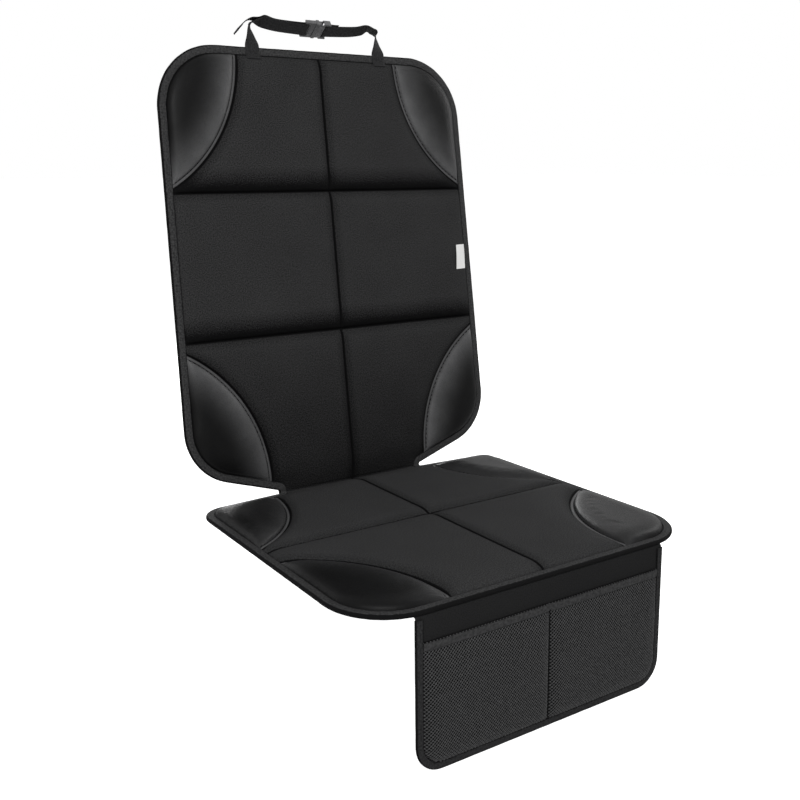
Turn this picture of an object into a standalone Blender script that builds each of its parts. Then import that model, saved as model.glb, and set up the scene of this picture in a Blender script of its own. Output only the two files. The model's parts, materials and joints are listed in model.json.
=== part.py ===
"""Car seat protector mat: a padded back and seat, a front flap with two net pockets and a headrest strap.

The mat is drawn flat, as it is cut: u runs across it, v runs along it from the crease (up the back is
positive, towards the seat's front is negative) and n is the height above the backing's outer face. fold()
then bends it at the crease into the shape that it has on a seat. The flap has a flat plan of its own.

X runs across the seat, the seat's front is towards -Y and +Z is up. The origin is the middle of the seat's
underside. All sizes are in metres.
"""

import math

import bmesh
import bpy
import numpy as np
from mathutils import Matrix, Vector
from mathutils.geometry import delaunay_2d_cdt

# Clearance between pieces that touch on the real mat
GAP = 0.0003
CREASE_GAP = 0.0005  # under the tape, which bends on a wider curve than the sheet inside it

# Back and seat outline
BACK_HEIGHT = 0.592
BACK_WIDTH_TOP = 0.466
BACK_WIDTH_BOTTOM = 0.490
BACK_TOP_RADIUS = 0.085
BACK_BOTTOM_RADIUS = 0.075
BACK_SIDE_FOOT = 0.045  # where the side's line would meet the slanted lower edge
SEAT_DEPTH = 0.412
SEAT_WIDTH_REAR = 0.480
SEAT_WIDTH_FRONT = 0.494
SEAT_REAR_DROP = 0.009  # how far the seat's rear edge slants away from the crease
SEAT_REAR_RADIUS = 0.035
SEAT_FRONT_RADIUS = 0.075
NOTCH_APEX = 0.104  # half the neck's width, where the lower and rear edges would meet
NOTCH_RADIUS = 0.003

# Fold at the crease
BACK_TILT = math.radians(8.2)
CREASE_RADIUS = 0.003
CREASE_LEVEL = 0.003  # the height in the mat at which the crease has that radius

# Layers, measured up from the backing's outer face
BACKING_THICKNESS = 0.0010
BACKING_PRESSED = 0.0003  # how much thinner the backing is where its binding holds it
BACKING_MARGIN = 0.020  # where the backing's flat middle ends, in from the back's top and the seat's front
BACKING_CLEARANCE = 0.002  # how far that flat middle stays in from the binding
SEAM_TOP = 0.0033
FIELD_CROWN = 0.0085
PATCH_CROWN = 0.0090

# Quilting
BACK_SEAMS = (0.215, 0.405)
SEAT_SEAM = -0.186
SHOULDER = 0.024  # the run over which a pad rises beside a seam or the binding
CREASE_SHOULDER = 0.036
CENTRE_SHOULDER = 0.016
CENTRE_DIP = 0.42

# Corner patches: each seam's inner end, as (u, v), its outer end, as how far out past the half width
# and v, and its bow
BACK_TOP_SEAM = ((0.122, BACK_HEIGHT), (-0.0006, BACK_SEAMS[1]), 0.0325)
BACK_BOTTOM_SEAM = ((0.1265, 0.008), (0.0021, BACK_SEAMS[0] - 0.007), 0.0355)
SEAT_REAR_SEAM = ((0.128, -0.002), (-0.0019, SEAT_SEAM + 0.010), 0.031)
SEAT_FRONT_SEAM = ((0.130, -SEAT_DEPTH + 0.001), (0.0015, SEAT_SEAM - 0.027), 0.041)

# Binding
TAPE = 0.0009
BINDING_FACE = 0.011
BINDING_ROUND = 0.0014

# Flap and its pockets
FLAP_WIDTH = 0.364
FLAP_DROP = 0.180
FLAP_RADIUS = 0.034
FLAP_THICKNESS = 0.0010
FLAP_MARGIN = 0.014
FLAP_BEND = 0.0020
FLAP_SETBACK = 0.0006
FLAP_TILT = math.radians(1.4)
POCKET_MOUTH = 0.031
POCKET_BELLY = 0.0062
POCKET_SHOULDER = 0.020
NET_THICKNESS = 0.0006
HEM_HEIGHT = 0.008
FLAP_BINDING_FACE = 0.009
FLAP_TAPE = 0.0008

# Strap and buckle
STRAP_SPAN = 0.196
WEBBING_WIDTH = 0.020
WEBBING = 0.0012
TAB_LENGTH = 0.016
STRAP_RISE = 0.034
STRAP_TURN = 0.009
STRAP_SAG = 0.005
TAIL_LENGTH = 0.029
TAIL_LIFT = 2.4  # the tail's height over the run below it, as a number of half webbings
BUCKLE_WIDTH = 0.026
BUCKLE_LENGTH = 0.038
BUCKLE_THICKNESS = 0.0075
BUCKLE_WALL = 0.0012
BUCKLE_MOUTH = -0.003  # where the housing starts, along the buckle from its middle
MALE_HEIGHT = 0.0054
PRONG_WIDTH = 0.003
TONGUE_WIDTH = 0.004
PRONG_ROOT = 0.0014  # how far the prongs run into the male frame
BAR = 0.0024
BAR_END = 0.00216  # the plastic beyond each bar's slot
BAR_SLOT = 0.0040
SLOT_PLAY = 0.0016  # by how much a slot is wider than the webbing
CUT = 0.001  # how far a cutter runs past the face that it opens
BAR_PITCH = BUCKLE_LENGTH / 2 - BAR * 1.4  # from the buckle's middle to each bar
SHORT_RETURN = 0.018  # the right webbing's run behind itself, beyond the bar
BUCKLE_LEAN = math.radians(61)  # how far the strap's run faces down from straight ahead
RUN_LEVEL = 0.0046  # the height at which the strap runs, over the backing's outer face

# Side tag
TAG_LENGTH = 0.036
TAG_WIDTH = 0.019
TAG_THICKNESS = 0.0004
TAG_HEIGHT = 0.304
TAG_LEAN = math.radians(4)
TAG_STANDOFF = 0.0018  # between the tag and the binding's inner edge
TAG_COLUMNS = (1.0, 0.75, 0.5, 0.25, 0.1, 0.0)

# Smoothness of the faceted curves
CORNER_STEPS = 9
NOTCH_STEPS = 18
PATCH_STEPS = 11
SIDE_STEPS = (0.0, 0.0022, 0.0080, 0.0200)
GUIDE_CLEARANCE = 0.0018
GUIDE_SPACING = 0.016
LONG_SPACING = 0.022
CREASE_SHARES = (0.2, 0.45, 0.75, 1.0)
CENTRE_SHARES = (0.15, 0.45, 1.0)
CREASE_REACH = NOTCH_APEX * 1.5  # half the length of the lines across the bend

PAD_INSET = TAPE + GAP
PAD_BOTTOM = BACKING_THICKNESS + GAP
BINDING_TOP = SEAM_TOP + GAP + TAPE
BINDING_FOOT = -CREASE_GAP - TAPE
LIP_END = BINDING_FACE + GAP  # where the pads may start to rise, in from the outline
MAT_HALF_TURN = (math.pi / 2 - BACK_TILT) / 2
BEND = CREASE_RADIUS * MAT_HALF_TURN


def clear_scene():
    """Removes what the scene holds."""
    for item in list(bpy.data.objects):
        bpy.data.objects.remove(item, do_unlink=True)


def material(name, colour, roughness, metallic=0.0):
    """Returns the named Principled material, made at its first use."""
    found = bpy.data.materials.get(name)
    if found:
        return found
    made = bpy.data.materials.new(name)
    made.use_nodes = True
    shader = made.node_tree.nodes["Principled BSDF"]
    shader.inputs["Base Color"].default_value = (*colour, 1.0)
    shader.inputs["Roughness"].default_value = roughness
    shader.inputs["Metallic"].default_value = metallic
    return made


def oxford():
    return material("oxford_fabric", (0.030, 0.030, 0.031), 0.85)


def leather():
    return material("imitation_leather", (0.012, 0.012, 0.012), 0.38)


def tape():
    return material("binding_tape", (0.038, 0.038, 0.039), 0.80)


def rubber_sheet():
    return material("non_slip_sheet", (0.035, 0.035, 0.036), 0.90)


def netting():
    return material("pocket_net", (0.022, 0.022, 0.023), 0.75)


def webbing():
    return material("webbing", (0.020, 0.020, 0.021), 0.78)


def moulding():
    return material("buckle_plastic", (0.060, 0.060, 0.062), 0.42)


def white_tape():
    return material("tag_fabric", (0.80, 0.80, 0.79), 0.80)


def make_object(name, points, faces, finish):
    """Makes a closed body from world points and faces given as lists of point numbers."""
    shape = bmesh.new()
    corners = [shape.verts.new(point) for point in points]
    for face in faces:
        shape.faces.new([corners[i] for i in face])
    bmesh.ops.recalc_face_normals(shape, faces=shape.faces)
    bmesh.ops.triangulate(shape, faces=shape.faces)
    mesh = bpy.data.meshes.new(name)
    shape.to_mesh(mesh)
    shape.free()
    mesh.materials.append(finish)
    mesh.shade_smooth()
    mesh.set_sharp_from_angle(angle=math.radians(35))
    made = bpy.data.objects.new(name, mesh)
    bpy.context.collection.objects.link(made)
    return made


class Body:
    """Collects the faces of one closed body. Points that coincide become one."""

    def __init__(self, place):
        self.place = place
        self.points = []
        self.faces = []
        self.numbers = {}

    def number(self, point):
        """Returns the number of a flat point, placed in the world."""
        key = tuple(round(float(c), 7) for c in point)
        if key not in self.numbers:
            self.numbers[key] = len(self.points)
            self.points.append(self.place(*key))
        return self.numbers[key]

    def face(self, corners):
        """Adds a face, without the corners that repeat."""
        ring = [self.number(corner) for corner in corners]
        ring = [n for i, n in enumerate(ring) if n != ring[i - 1]]
        if len(ring) > 2:
            self.faces.append(ring)

    def sheet(self, rows):
        """Adds the faces of a grid of points."""
        for near, far in zip(rows, rows[1:]):
            for i in range(len(near) - 1):
                self.face([near[i], near[i + 1], far[i + 1], far[i]])

    def finish(self, name, surface):
        return make_object(name, self.points, self.faces, surface)


def slab(name, top, bottom, place, surface):
    """Makes a body between a grid above and a plain strip, or a like grid, below it."""
    body = Body(place)
    body.sheet(top)
    body.sheet(bottom)
    for side in (0, -1):
        body.sheet([[row[side] for row in top], [row[side] for row in bottom]])
    for end in (0, -1):
        body.face([*top[end], *reversed(bottom[end])])
    return body.finish(name, surface)


def sweep(name, rings, surface, closed=False):
    """Makes a tube of world-space rings, closed on itself or capped."""
    body = Body(lambda x, y, z: Vector((x, y, z)))
    loops = [[*ring, ring[0]] for ring in rings]
    body.sheet([*loops, loops[0]] if closed else loops)
    if not closed:
        body.face(rings[0])
        body.face(rings[-1])
    return body.finish(name, surface)


def fold(u, v, n):
    """Bends a flat point of the mat into the world."""
    rise = n - CREASE_LEVEL
    foot = CREASE_RADIUS * math.tan(MAT_HALF_TURN)
    if v > BEND:
        run = v - BEND + foot
        y = run * math.sin(BACK_TILT) - rise * math.cos(BACK_TILT)
        z = run * math.cos(BACK_TILT) + rise * math.sin(BACK_TILT)
    elif v < -BEND:
        y = v + BEND - foot
        z = rise
    else:
        turn = v / CREASE_RADIUS + MAT_HALF_TURN
        radius = CREASE_RADIUS - rise
        y = -foot + radius * math.sin(turn)
        z = CREASE_RADIUS - radius * math.cos(turn)
    return Vector((u, y + SEAT_DEPTH / 2, z + CREASE_LEVEL))


def unit(vector):
    return vector / np.linalg.norm(vector)


def fillet(before, corner, after, radius, steps, power=1.0):
    """Rounds a corner. Returns the arc's points and the directions into the mat, which lies to the right."""
    before, corner, after = (np.array(p, float) for p in (before, corner, after))
    back, ahead = unit(before - corner), unit(after - corner)
    half = math.acos(float(np.clip(back @ ahead, -1, 1))) / 2
    centre = corner + unit(back + ahead) * radius / math.sin(half)
    start = corner + back * radius / math.tan(half) - centre
    turning = 1.0 if back[0] * ahead[1] - back[1] * ahead[0] < 0 else -1.0
    sweep_angle = turning * (math.pi - 2 * half)
    found = []
    for i in range(steps + 1):
        t = 2 * i / steps - 1
        angle = sweep_angle * (0.5 + 0.5 * math.copysign(abs(t) ** power, t))
        c, s = math.cos(angle), math.sin(angle)
        arm = np.array([c * start[0] - s * start[1], s * start[0] + c * start[1]])
        inward = unit(arm) if turning > 0 else -unit(arm)
        found.append((centre + arm, inward))
    return found


def mat_edge():
    """Returns the right half of the mat's outline, from the back's top down, with its inward directions."""
    top = (0, BACK_HEIGHT)
    back_top = (BACK_WIDTH_TOP / 2, BACK_HEIGHT)
    back_foot = (BACK_WIDTH_BOTTOM / 2, BACK_SIDE_FOOT)
    notch = (NOTCH_APEX, 0)
    seat_rear = (SEAT_WIDTH_REAR / 2, -SEAT_REAR_DROP)
    seat_front = (SEAT_WIDTH_FRONT / 2, -SEAT_DEPTH)
    front = (0, -SEAT_DEPTH)
    return [
        *fillet(top, back_top, back_foot, BACK_TOP_RADIUS, CORNER_STEPS),
        *fillet(back_top, back_foot, notch, BACK_BOTTOM_RADIUS, CORNER_STEPS),
        *fillet(back_foot, notch, seat_rear, NOTCH_RADIUS, NOTCH_STEPS, 2.0),
        *fillet(notch, seat_rear, seat_front, SEAT_REAR_RADIUS, CORNER_STEPS),
        *fillet(seat_rear, seat_front, front, SEAT_FRONT_RADIUS, CORNER_STEPS),
    ]


MAT_EDGE = mat_edge()


def loop_of(edge):
    """Closes a half outline with its mirror image."""
    flip = np.array([-1, 1])
    return edge + [(point * flip, inward * flip) for point, inward in reversed(edge)]


MAT_LOOP = loop_of(MAT_EDGE)


def inset(edge, distance):
    return np.array([point + inward * distance for point, inward in edge])


PAD_EDGE = inset(MAT_EDGE, PAD_INSET)


def edge_at(v):
    """Returns half the width of the pads at v."""
    return float(np.interp(-v, -PAD_EDGE[:, 1], PAD_EDGE[:, 0]))


REST_EDGE = inset(MAT_EDGE, BINDING_FACE + BACKING_CLEARANCE)


def rest_at(v):
    """Returns half the width of the backing's flat middle at v."""
    return float(np.interp(-v, -REST_EDGE[:, 1], REST_EDGE[:, 0]))


def distance(points, line):
    """Returns how far each point is from a closed line of points."""
    along = np.roll(line, -1, axis=0) - line
    reach = points[:, None] - line
    t = np.clip((reach * along).sum(2) / np.maximum((along**2).sum(1), 1e-18), 0, 1)
    return np.linalg.norm(reach - t[..., None] * along, axis=2).min(1)


def inside(points, line):
    """Says which points lie inside a closed line of points."""
    after = np.roll(line, -1, axis=0)
    x, y = points[:, 0, None], points[:, 1, None]
    straddles = (line[:, 1] > y) != (after[:, 1] > y)
    rise_of_edge = np.where(after[:, 1] == line[:, 1], 1.0, after[:, 1] - line[:, 1])
    crossing = line[:, 0] + (y - line[:, 1]) * (after[:, 0] - line[:, 0]) / rise_of_edge
    return (straddles & (x < crossing)).sum(1) % 2 == 1


def half_width(v):
    """Returns half the mat's width at v, as if its corners were not rounded."""
    low, high, first, last = -SEAT_REAR_DROP, -SEAT_DEPTH, SEAT_WIDTH_REAR, SEAT_WIDTH_FRONT
    if v > 0:
        low, high, first, last = BACK_SIDE_FOOT, BACK_HEIGHT, BACK_WIDTH_BOTTOM, BACK_WIDTH_TOP
    return (first + (last - first) * (v - low) / (high - low)) / 2


class PatchSeam:
    """The round seam between a centre panel and a corner patch, on the right half of the mat."""

    def __init__(self, first, last, bow):
        first, last = np.array(first), np.array([half_width(last[1]) + last[0], last[1]])
        chord = last - first
        length = float(np.linalg.norm(chord))
        across = np.array([chord[1], -chord[0]]) / length
        if across[0] > 0:
            across = -across
        self.radius = length**2 / (8 * bow) + bow / 2
        self.centre = (first + last) / 2 - across * (self.radius - bow)
        self.angles = [self.angle_of(first), self.angle_of(last)]

    def angle_of(self, point):
        """Returns a point's angle about the seam's centre, counted from -X."""
        arm = point - self.centre
        return math.atan2(-arm[1], -arm[0])

    def away(self, points):
        """Returns how far points on either half of the mat are from the seam."""
        right = np.abs(points) * [1, 0] + points * [0, 1]
        return np.abs(np.linalg.norm(right - self.centre, axis=1) - self.radius)

    def beside(self, offset):
        """Returns a line along the seam, at an offset from it and a little longer at both ends."""
        first, last = self.angles
        angles = np.linspace(first - 0.1, last + 0.1, 25)
        return self.centre - (self.radius + offset) * np.stack([np.cos(angles), np.sin(angles)], axis=1)

    def arc(self, radius, start, end):
        """Returns the points of a like arc between two points, at angles that every radius shares."""
        first, last = self.angle_of(start), self.angle_of(end)
        low, high = sorted((first, last))
        shared = np.linspace(*self.angles, PATCH_STEPS + 1)[1:-1]
        margin = 0.25 * abs(shared[1] - shared[0])
        angles = sorted((a for a in shared if low + margin < a < high - margin), reverse=first > last)
        spots = [self.centre - radius * np.array([math.cos(a), math.sin(a)]) for a in angles]
        return [start, *spots, end]

    def cut(self, line, radius):
        """Splits a line at a circle about the seam's centre, into the part before, inside and after it."""
        parts, state = [[], [], []], 0
        for point, after in zip(line, [*line[1:], line[-1]]):
            parts[state].append(point)
            crossing = self.crossing(point, after, radius, leaving=state == 1)
            if crossing is not None and state < 2:
                parts[state].append(crossing)
                state += 1
                parts[state].append(crossing)
                crossing = self.crossing(crossing, after, radius, leaving=True) if state == 1 else None
                if crossing is not None and np.linalg.norm(crossing - parts[1][-1]) > 1e-6:
                    parts[1].append(crossing)
                    state = 2
                    parts[2].append(crossing)
        return parts

    def crossing(self, a, b, radius, leaving):
        """Returns where the segment from a to b enters or leaves the circle, or None."""
        along, arm = b - a, a - self.centre
        square = float(along @ along)
        if square < 1e-16:
            return None
        middle = float(along @ arm) / square
        depth = middle**2 - (float(arm @ arm) - radius**2) / square
        if depth < 0:
            return None
        t = -middle + (math.sqrt(depth) if leaving else -math.sqrt(depth))
        return a + along * t if 1e-9 < t <= 1 else None


class Part:
    """One padded part of the mat: the back or the seat, with its quilting seams and its patch seams."""

    def __init__(self, name, end, crease, seams, patches):
        self.name = name
        self.crease = crease
        self.seams = seams
        self.patches = {corner: PatchSeam(*seam) for corner, seam in patches.items()}
        side = math.copysign(1, end)
        middle_end = np.array([0.0, PAD_EDGE[0 if side > 0 else -1, 1]])
        edge = [point for point in PAD_EDGE if (point[1] - crease) * side > 1e-4]
        edge = edge if side > 0 else edge[::-1]
        self.half = [middle_end, *edge, np.array([edge_at(crease), crease])]

    def top(self, points, crown):
        """Returns the height of the pads' upper side at flat points."""
        points = np.array(points, float)
        edge = distance(points, inset(MAT_LOOP, 0)) - LIP_END
        height = rise(edge / SHOULDER)
        height *= np.sin(np.clip(np.abs(points[:, 1]) / CREASE_SHOULDER, 0, 1) * math.pi / 2)
        for seam in self.seams:
            height *= rise(np.abs(points[:, 1] - seam) / SHOULDER)
        for seam in self.patches.values():
            height *= rise(seam.away(points) / SHOULDER)
        height *= 1 - CENTRE_DIP * (1 - rise(np.abs(points[:, 0]) / CENTRE_SHOULDER))
        return SEAM_TOP + crown * height

    def panel_border(self):
        """Returns the closed border of the centre panel."""
        line = list(self.half)
        for seam in sorted(self.patches.values(), key=lambda s: -abs(s.centre[1])):
            radius = seam.radius + GAP / 2
            before, _, after = seam.cut(line, radius)
            line = [*before[:-1], *seam.arc(radius, before[-1], after[0]), *after[1:]]
        mirrored = [point * [-1, 1] for point in reversed(line) if point[0] > 1e-6]
        return np.array([*line, *mirrored])

    def patch_border(self, corner):
        """Returns the closed border of the right-hand patch at a corner."""
        seam = self.patches[corner]
        radius = seam.radius - GAP / 2
        _, rim, _ = seam.cut(self.half, radius)
        arc = seam.arc(radius, rim[-1], rim[0])
        return np.array([*rim, *arc[1:-1]])

    def creases(self):
        """Returns lines across the bend, where the solids turn."""
        side = math.copysign(1, self.crease)
        levels = [self.crease + side * (BEND - abs(self.crease)) * share for share in (0.33, 0.67, 1.0)]
        return [spread((-CREASE_REACH, v), (CREASE_REACH, v), 3) for v in levels]

    def guides(self):
        """Returns points along the shoulders of the pads, where their upper side bends most."""
        found = []
        wide, tall = SEAT_WIDTH_FRONT / 2, self.half[0][1]
        for step in SIDE_STEPS[1:]:
            spacing = max(GUIDE_SPACING, 1.2 * step)
            found += along_line(inset(MAT_LOOP, LIP_END + step), spacing)
            for seam in self.seams:
                for v in (seam - step, seam + step):
                    found += along_line(spread((-wide, v), (wide, v), 2), spacing)
            for seam in self.patches.values():
                for sign in (-1, 1):
                    line = seam.beside(sign * step)
                    found += along_line(line, spacing)
                    found += along_line(line * [-1, 1], spacing)
        for share in CENTRE_SHARES:
            for u in (-share * CENTRE_SHOULDER, share * CENTRE_SHOULDER):
                found += along_line(spread((u, self.crease), (u, tall), 2), LONG_SPACING)
        side = math.copysign(1, tall)
        for share in CREASE_SHARES:
            v = side * share * CREASE_SHOULDER
            found += along_line(spread((-wide, v), (wide, v), 2), LONG_SPACING)
        return found


def rise(share):
    """The round shoulder of a pad, from 0 at its seam to 1 on its crown."""
    return np.sqrt(1 - (1 - np.clip(share, 0, 1)) ** 2)


def spread(start, end, count):
    """Returns evenly spaced points of a straight line."""
    return np.linspace(start, end, count)


def along_line(line, spacing):
    """Returns points along an open line at about the spacing."""
    lengths = np.linalg.norm(np.diff(line, axis=0), axis=1)
    place = np.concatenate([[0], np.cumsum(lengths)])
    at = np.linspace(0, place[-1], max(2, int(place[-1] / spacing) + 1))
    return [np.array([np.interp(s, place, line[:, 0]), np.interp(s, place, line[:, 1])]) for s in at]


def thin_out(points, border, lines):
    """Keeps the guide points inside a border that crowd neither it, the lines nor each other."""
    points = np.array(points)
    points = points[inside(points, border)]
    points = points[distance(points, border) > GUIDE_CLEARANCE]
    kept = np.array([spot for line in lines for spot in along_line(line, GUIDE_CLEARANCE)] or [[9.0, 9.0]])
    for point in points:
        if np.linalg.norm(kept - point, axis=1).min() > GUIDE_CLEARANCE:
            kept = np.vstack([kept, point])
    return [spot for spot in kept[len(kept) - 1 :: -1] if inside(spot[None], border)[0]]


def triangulate(border, lines, loose):
    """Fills a border with triangles that follow the lines and use the loose points."""
    spots, edges = list(border), []
    edges += [(i, (i + 1) % len(border)) for i in range(len(border))]
    for line in lines:
        edges += [(len(spots) + i, len(spots) + i + 1) for i in range(len(line) - 1)]
        spots += list(line)
    spots += list(loose)
    made = delaunay_2d_cdt([Vector(spot) for spot in spots], edges, [], 0, 1e-7)
    verts = np.array([tuple(vert) for vert in made[0]])
    faces = [list(face) for face in made[2]]
    centres = np.array([verts[face].mean(axis=0) for face in faces])
    return verts, [face for face, kept in zip(faces, inside(centres, border)) if kept]


def rim_of(faces):
    """Returns the directed edges that only one face has, as a closed run of point numbers."""
    edges = {(a, b) for face in faces for a, b in zip(face, [*face[1:], face[0]])}
    ahead = {a: b for a, b in edges if (b, a) not in edges}
    run = [min(ahead)]
    while ahead[run[-1]] != run[0]:
        run.append(ahead[run[-1]])
    return run


def make_pad(name, part, border, mirror, crown, lines, surface):
    """Makes a padded solid over a border: crowned above, flat below."""
    keep = [line for line in lines if inside(line, border).any() or len(line) == 2]
    verts, faces = triangulate(border, keep, thin_out(part.guides(), border, []))
    heights = part.top(verts, crown)
    rim = [verts[i] for i in rim_of(faces)]
    floor_verts, floor_faces = triangulate(np.array(rim), part.creases(), [])
    body = Body(fold)
    for face in faces:
        body.face([(mirror * verts[i][0], verts[i][1], heights[i]) for i in face])
    for face in floor_faces:
        body.face([(mirror * floor_verts[i][0], floor_verts[i][1], PAD_BOTTOM) for i in face])
    tops = [(mirror * p[0], p[1], h) for p, h in zip(rim, part.top(rim, crown))]
    feet = [(mirror * p[0], p[1], PAD_BOTTOM) for p in rim]
    body.sheet([[*tops, tops[0]], [*feet, feet[0]]])
    return body.finish(name, surface)


def make_part(part):
    """Makes a part's centre panel and its corner patches."""
    lip = inset(MAT_LOOP, LIP_END)
    lip_line = np.vstack([lip, lip[:1]])
    wide, tall = SEAT_WIDTH_FRONT / 2, part.half[0][1]
    seams = [spread((-wide, v), (wide, v), 2) for v in part.seams]
    middle = spread((0, part.crease), (0, tall), 2)
    lines = [lip_line, middle, *seams, *part.creases()]
    make_pad(f"{part.name}_panel", part, part.panel_border(), 1, FIELD_CROWN, lines, oxford())
    for corner in part.patches:
        border = part.patch_border(corner)
        for word, mirror in (("left", -1), ("right", 1)):
            name = f"{part.name}_patch_{corner}_{word}"
            make_pad(name, part, border, mirror, PATCH_CROWN, [lip_line, *part.creases()], leather())


BACK = Part("back", BACK_HEIGHT, GAP / 2, BACK_SEAMS, {"top": BACK_TOP_SEAM, "bottom": BACK_BOTTOM_SEAM})
SEAT = Part("seat", -SEAT_DEPTH, -GAP / 2, (SEAT_SEAM,), {"rear": SEAT_REAR_SEAM, "front": SEAT_FRONT_SEAM})


def make_backing():
    """Makes the non-slip sheet under the back and the seat, pressed thinner all round in its binding."""
    bend = [BEND * share / 4 for share in range(-4, 5)]
    front, top = BACKING_MARGIN - SEAT_DEPTH, BACK_HEIGHT - BACKING_MARGIN
    rows = sorted([*[float(v) for v in PAD_EDGE[:, 1]], *bend, front, top])
    rows = [v for i, v in enumerate(rows) if i == 0 or v - rows[i - 1] > 1e-5]
    upper, lower = [], []
    for v in rows:
        free = front <= v <= top
        outer = edge_at(v)
        inner = rest_at(v) if free else outer - BINDING_FACE
        middle = 0.0 if free else BACKING_PRESSED
        places = (-outer, -inner, inner, outer)
        upper.append([(u, v, BACKING_THICKNESS) for u in places])
        lower.append([(u, v, n) for u, n in zip(places, (BACKING_PRESSED, middle, middle, BACKING_PRESSED))])
    return slab("non_slip_backing", upper, lower, fold, rubber_sheet())


def tape_profile(face, wall, low, high, edge_round):
    """Returns the section of a tape folded over an edge, as distances in from the fold and heights."""
    middle = face / 2
    return [
        (face, high),
        (middle, high),
        (edge_round, high),
        (edge_round * 0.3, high - edge_round * 0.3),
        (0, high - edge_round),
        (0, low + edge_round),
        (edge_round * 0.3, low + edge_round * 0.3),
        (edge_round, low),
        (middle, low),
        (face, low),
        (face, low + wall),
        (middle, low + wall),
        (wall, low + wall),
        (wall, high - wall),
        (middle, high - wall),
        (face, high - wall),
    ]


def make_edge_binding():
    """Makes the tape folded over the whole edge of the back and the seat."""
    section = tape_profile(BINDING_FACE, TAPE, BINDING_FOOT, BINDING_TOP, BINDING_ROUND)
    rings = []
    for point, inward in MAT_LOOP:
        places = [(point + inward * d, n) for d, n in section]
        rings.append([fold(p[0], p[1], n) for p, n in places])
    return sweep("edge_binding", rings, tape(), closed=True)


FLAP_TOP = BINDING_FOOT - GAP  # the height of the flap's margin, under the seat's binding


def hang(u, w, m):
    """Places a flat point of the flap: w runs down from the seat's front edge and m is towards its front."""
    bend_length = (FLAP_BEND + FLAP_THICKNESS / 2) * (math.pi / 2 + FLAP_TILT)
    out = m + FLAP_BEND
    axis_y = -SEAT_DEPTH / 2 + FLAP_SETBACK + FLAP_BEND + FLAP_THICKNESS
    axis_z = FLAP_TOP - FLAP_THICKNESS - FLAP_BEND
    turn = math.pi / 2 + FLAP_TILT
    if w < 0:
        return Vector((u, axis_y - w, axis_z + out))
    angle = min(1.0, w / bend_length) * turn
    down = max(0.0, w - bend_length)
    y = axis_y - out * math.sin(angle) + down * math.cos(angle)
    z = axis_z + out * math.cos(angle) - down * math.sin(angle)
    return Vector((u, y, z))


def flap_edge():
    """Returns the right half of the flap's outline from its top to the middle of its bottom edge."""
    half = FLAP_WIDTH / 2
    top, low = (half, 0.0), (half, -FLAP_DROP)
    start = FLAP_BEND * 2.4
    points = [(np.array([half, -start]), np.array([-1.0, 0.0]))]
    return points + fillet(top, low, (0, -FLAP_DROP), FLAP_RADIUS, CORNER_STEPS)


FLAP_EDGE = flap_edge()
FLAP_PAD_EDGE = inset(FLAP_EDGE, FLAP_TAPE + GAP)
NET_BASE = FLAP_THICKNESS + GAP


def flap_half(w):
    return float(np.interp(w, -FLAP_PAD_EDGE[:, 1], FLAP_PAD_EDGE[:, 0]))


def make_flap_panel():
    """Makes the flap's plain fabric, with the margin that is sewn under the seat's front edge."""
    bend = (FLAP_BEND + FLAP_THICKNESS / 2) * (math.pi / 2 + FLAP_TILT)
    rows = [-FLAP_MARGIN, 0.0, bend * 0.25, bend * 0.5, bend * 0.75, bend]
    rows += [float(-v) for v in FLAP_PAD_EDGE[1:, 1]]
    layers = []
    for m in (FLAP_THICKNESS, 0.0):
        layers.append([[(-flap_half(w), w, m), (flap_half(w), w, m)] for w in rows])
    return slab("flap_panel", *layers, hang, oxford())


NET_LIP = FLAP_BINDING_FACE + GAP
DIVIDER = 0.001  # half the width of the strip where the net is sewn down between the pockets


def net_height(points):
    """Returns how far the pocket net stands off the flap at flat points."""
    points = np.array(points, float)
    outline = inset(loop_of(FLAP_EDGE), 0) * [1, -1]
    edge = distance(points, outline) - NET_LIP
    height = rise(edge / POCKET_SHOULDER) * rise((np.abs(points[:, 0]) - DIVIDER) / POCKET_SHOULDER)
    return NET_BASE + POCKET_BELLY * height


NET_STEPS = (0.0, 0.0015, 0.0060, 0.0200)


def net_columns():
    """Returns where the net and its hem have their points along the pockets' mouth."""
    half = flap_half(POCKET_MOUTH)
    lip = FLAP_WIDTH / 2 - NET_LIP
    columns = [*(DIVIDER + step for step in NET_STEPS), *(lip - step for step in reversed(NET_STEPS)), half]
    return [-u for u in reversed(columns)] + columns


def net_guides():
    """Returns loose points where the net bends beside its seams."""
    found = []
    for step in NET_STEPS[1:]:
        spacing = max(0.016, step)
        found += along_line(inset(loop_of(FLAP_EDGE), NET_LIP + step) * [1, -1], spacing)
        for u in (DIVIDER + step, -DIVIDER - step):
            found += along_line(spread((u, POCKET_MOUTH), (u, FLAP_DROP), 2), spacing)
    return [spot for spot in found if spot[1] > POCKET_MOUTH + HEM_HEIGHT + GUIDE_CLEARANCE]


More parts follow.
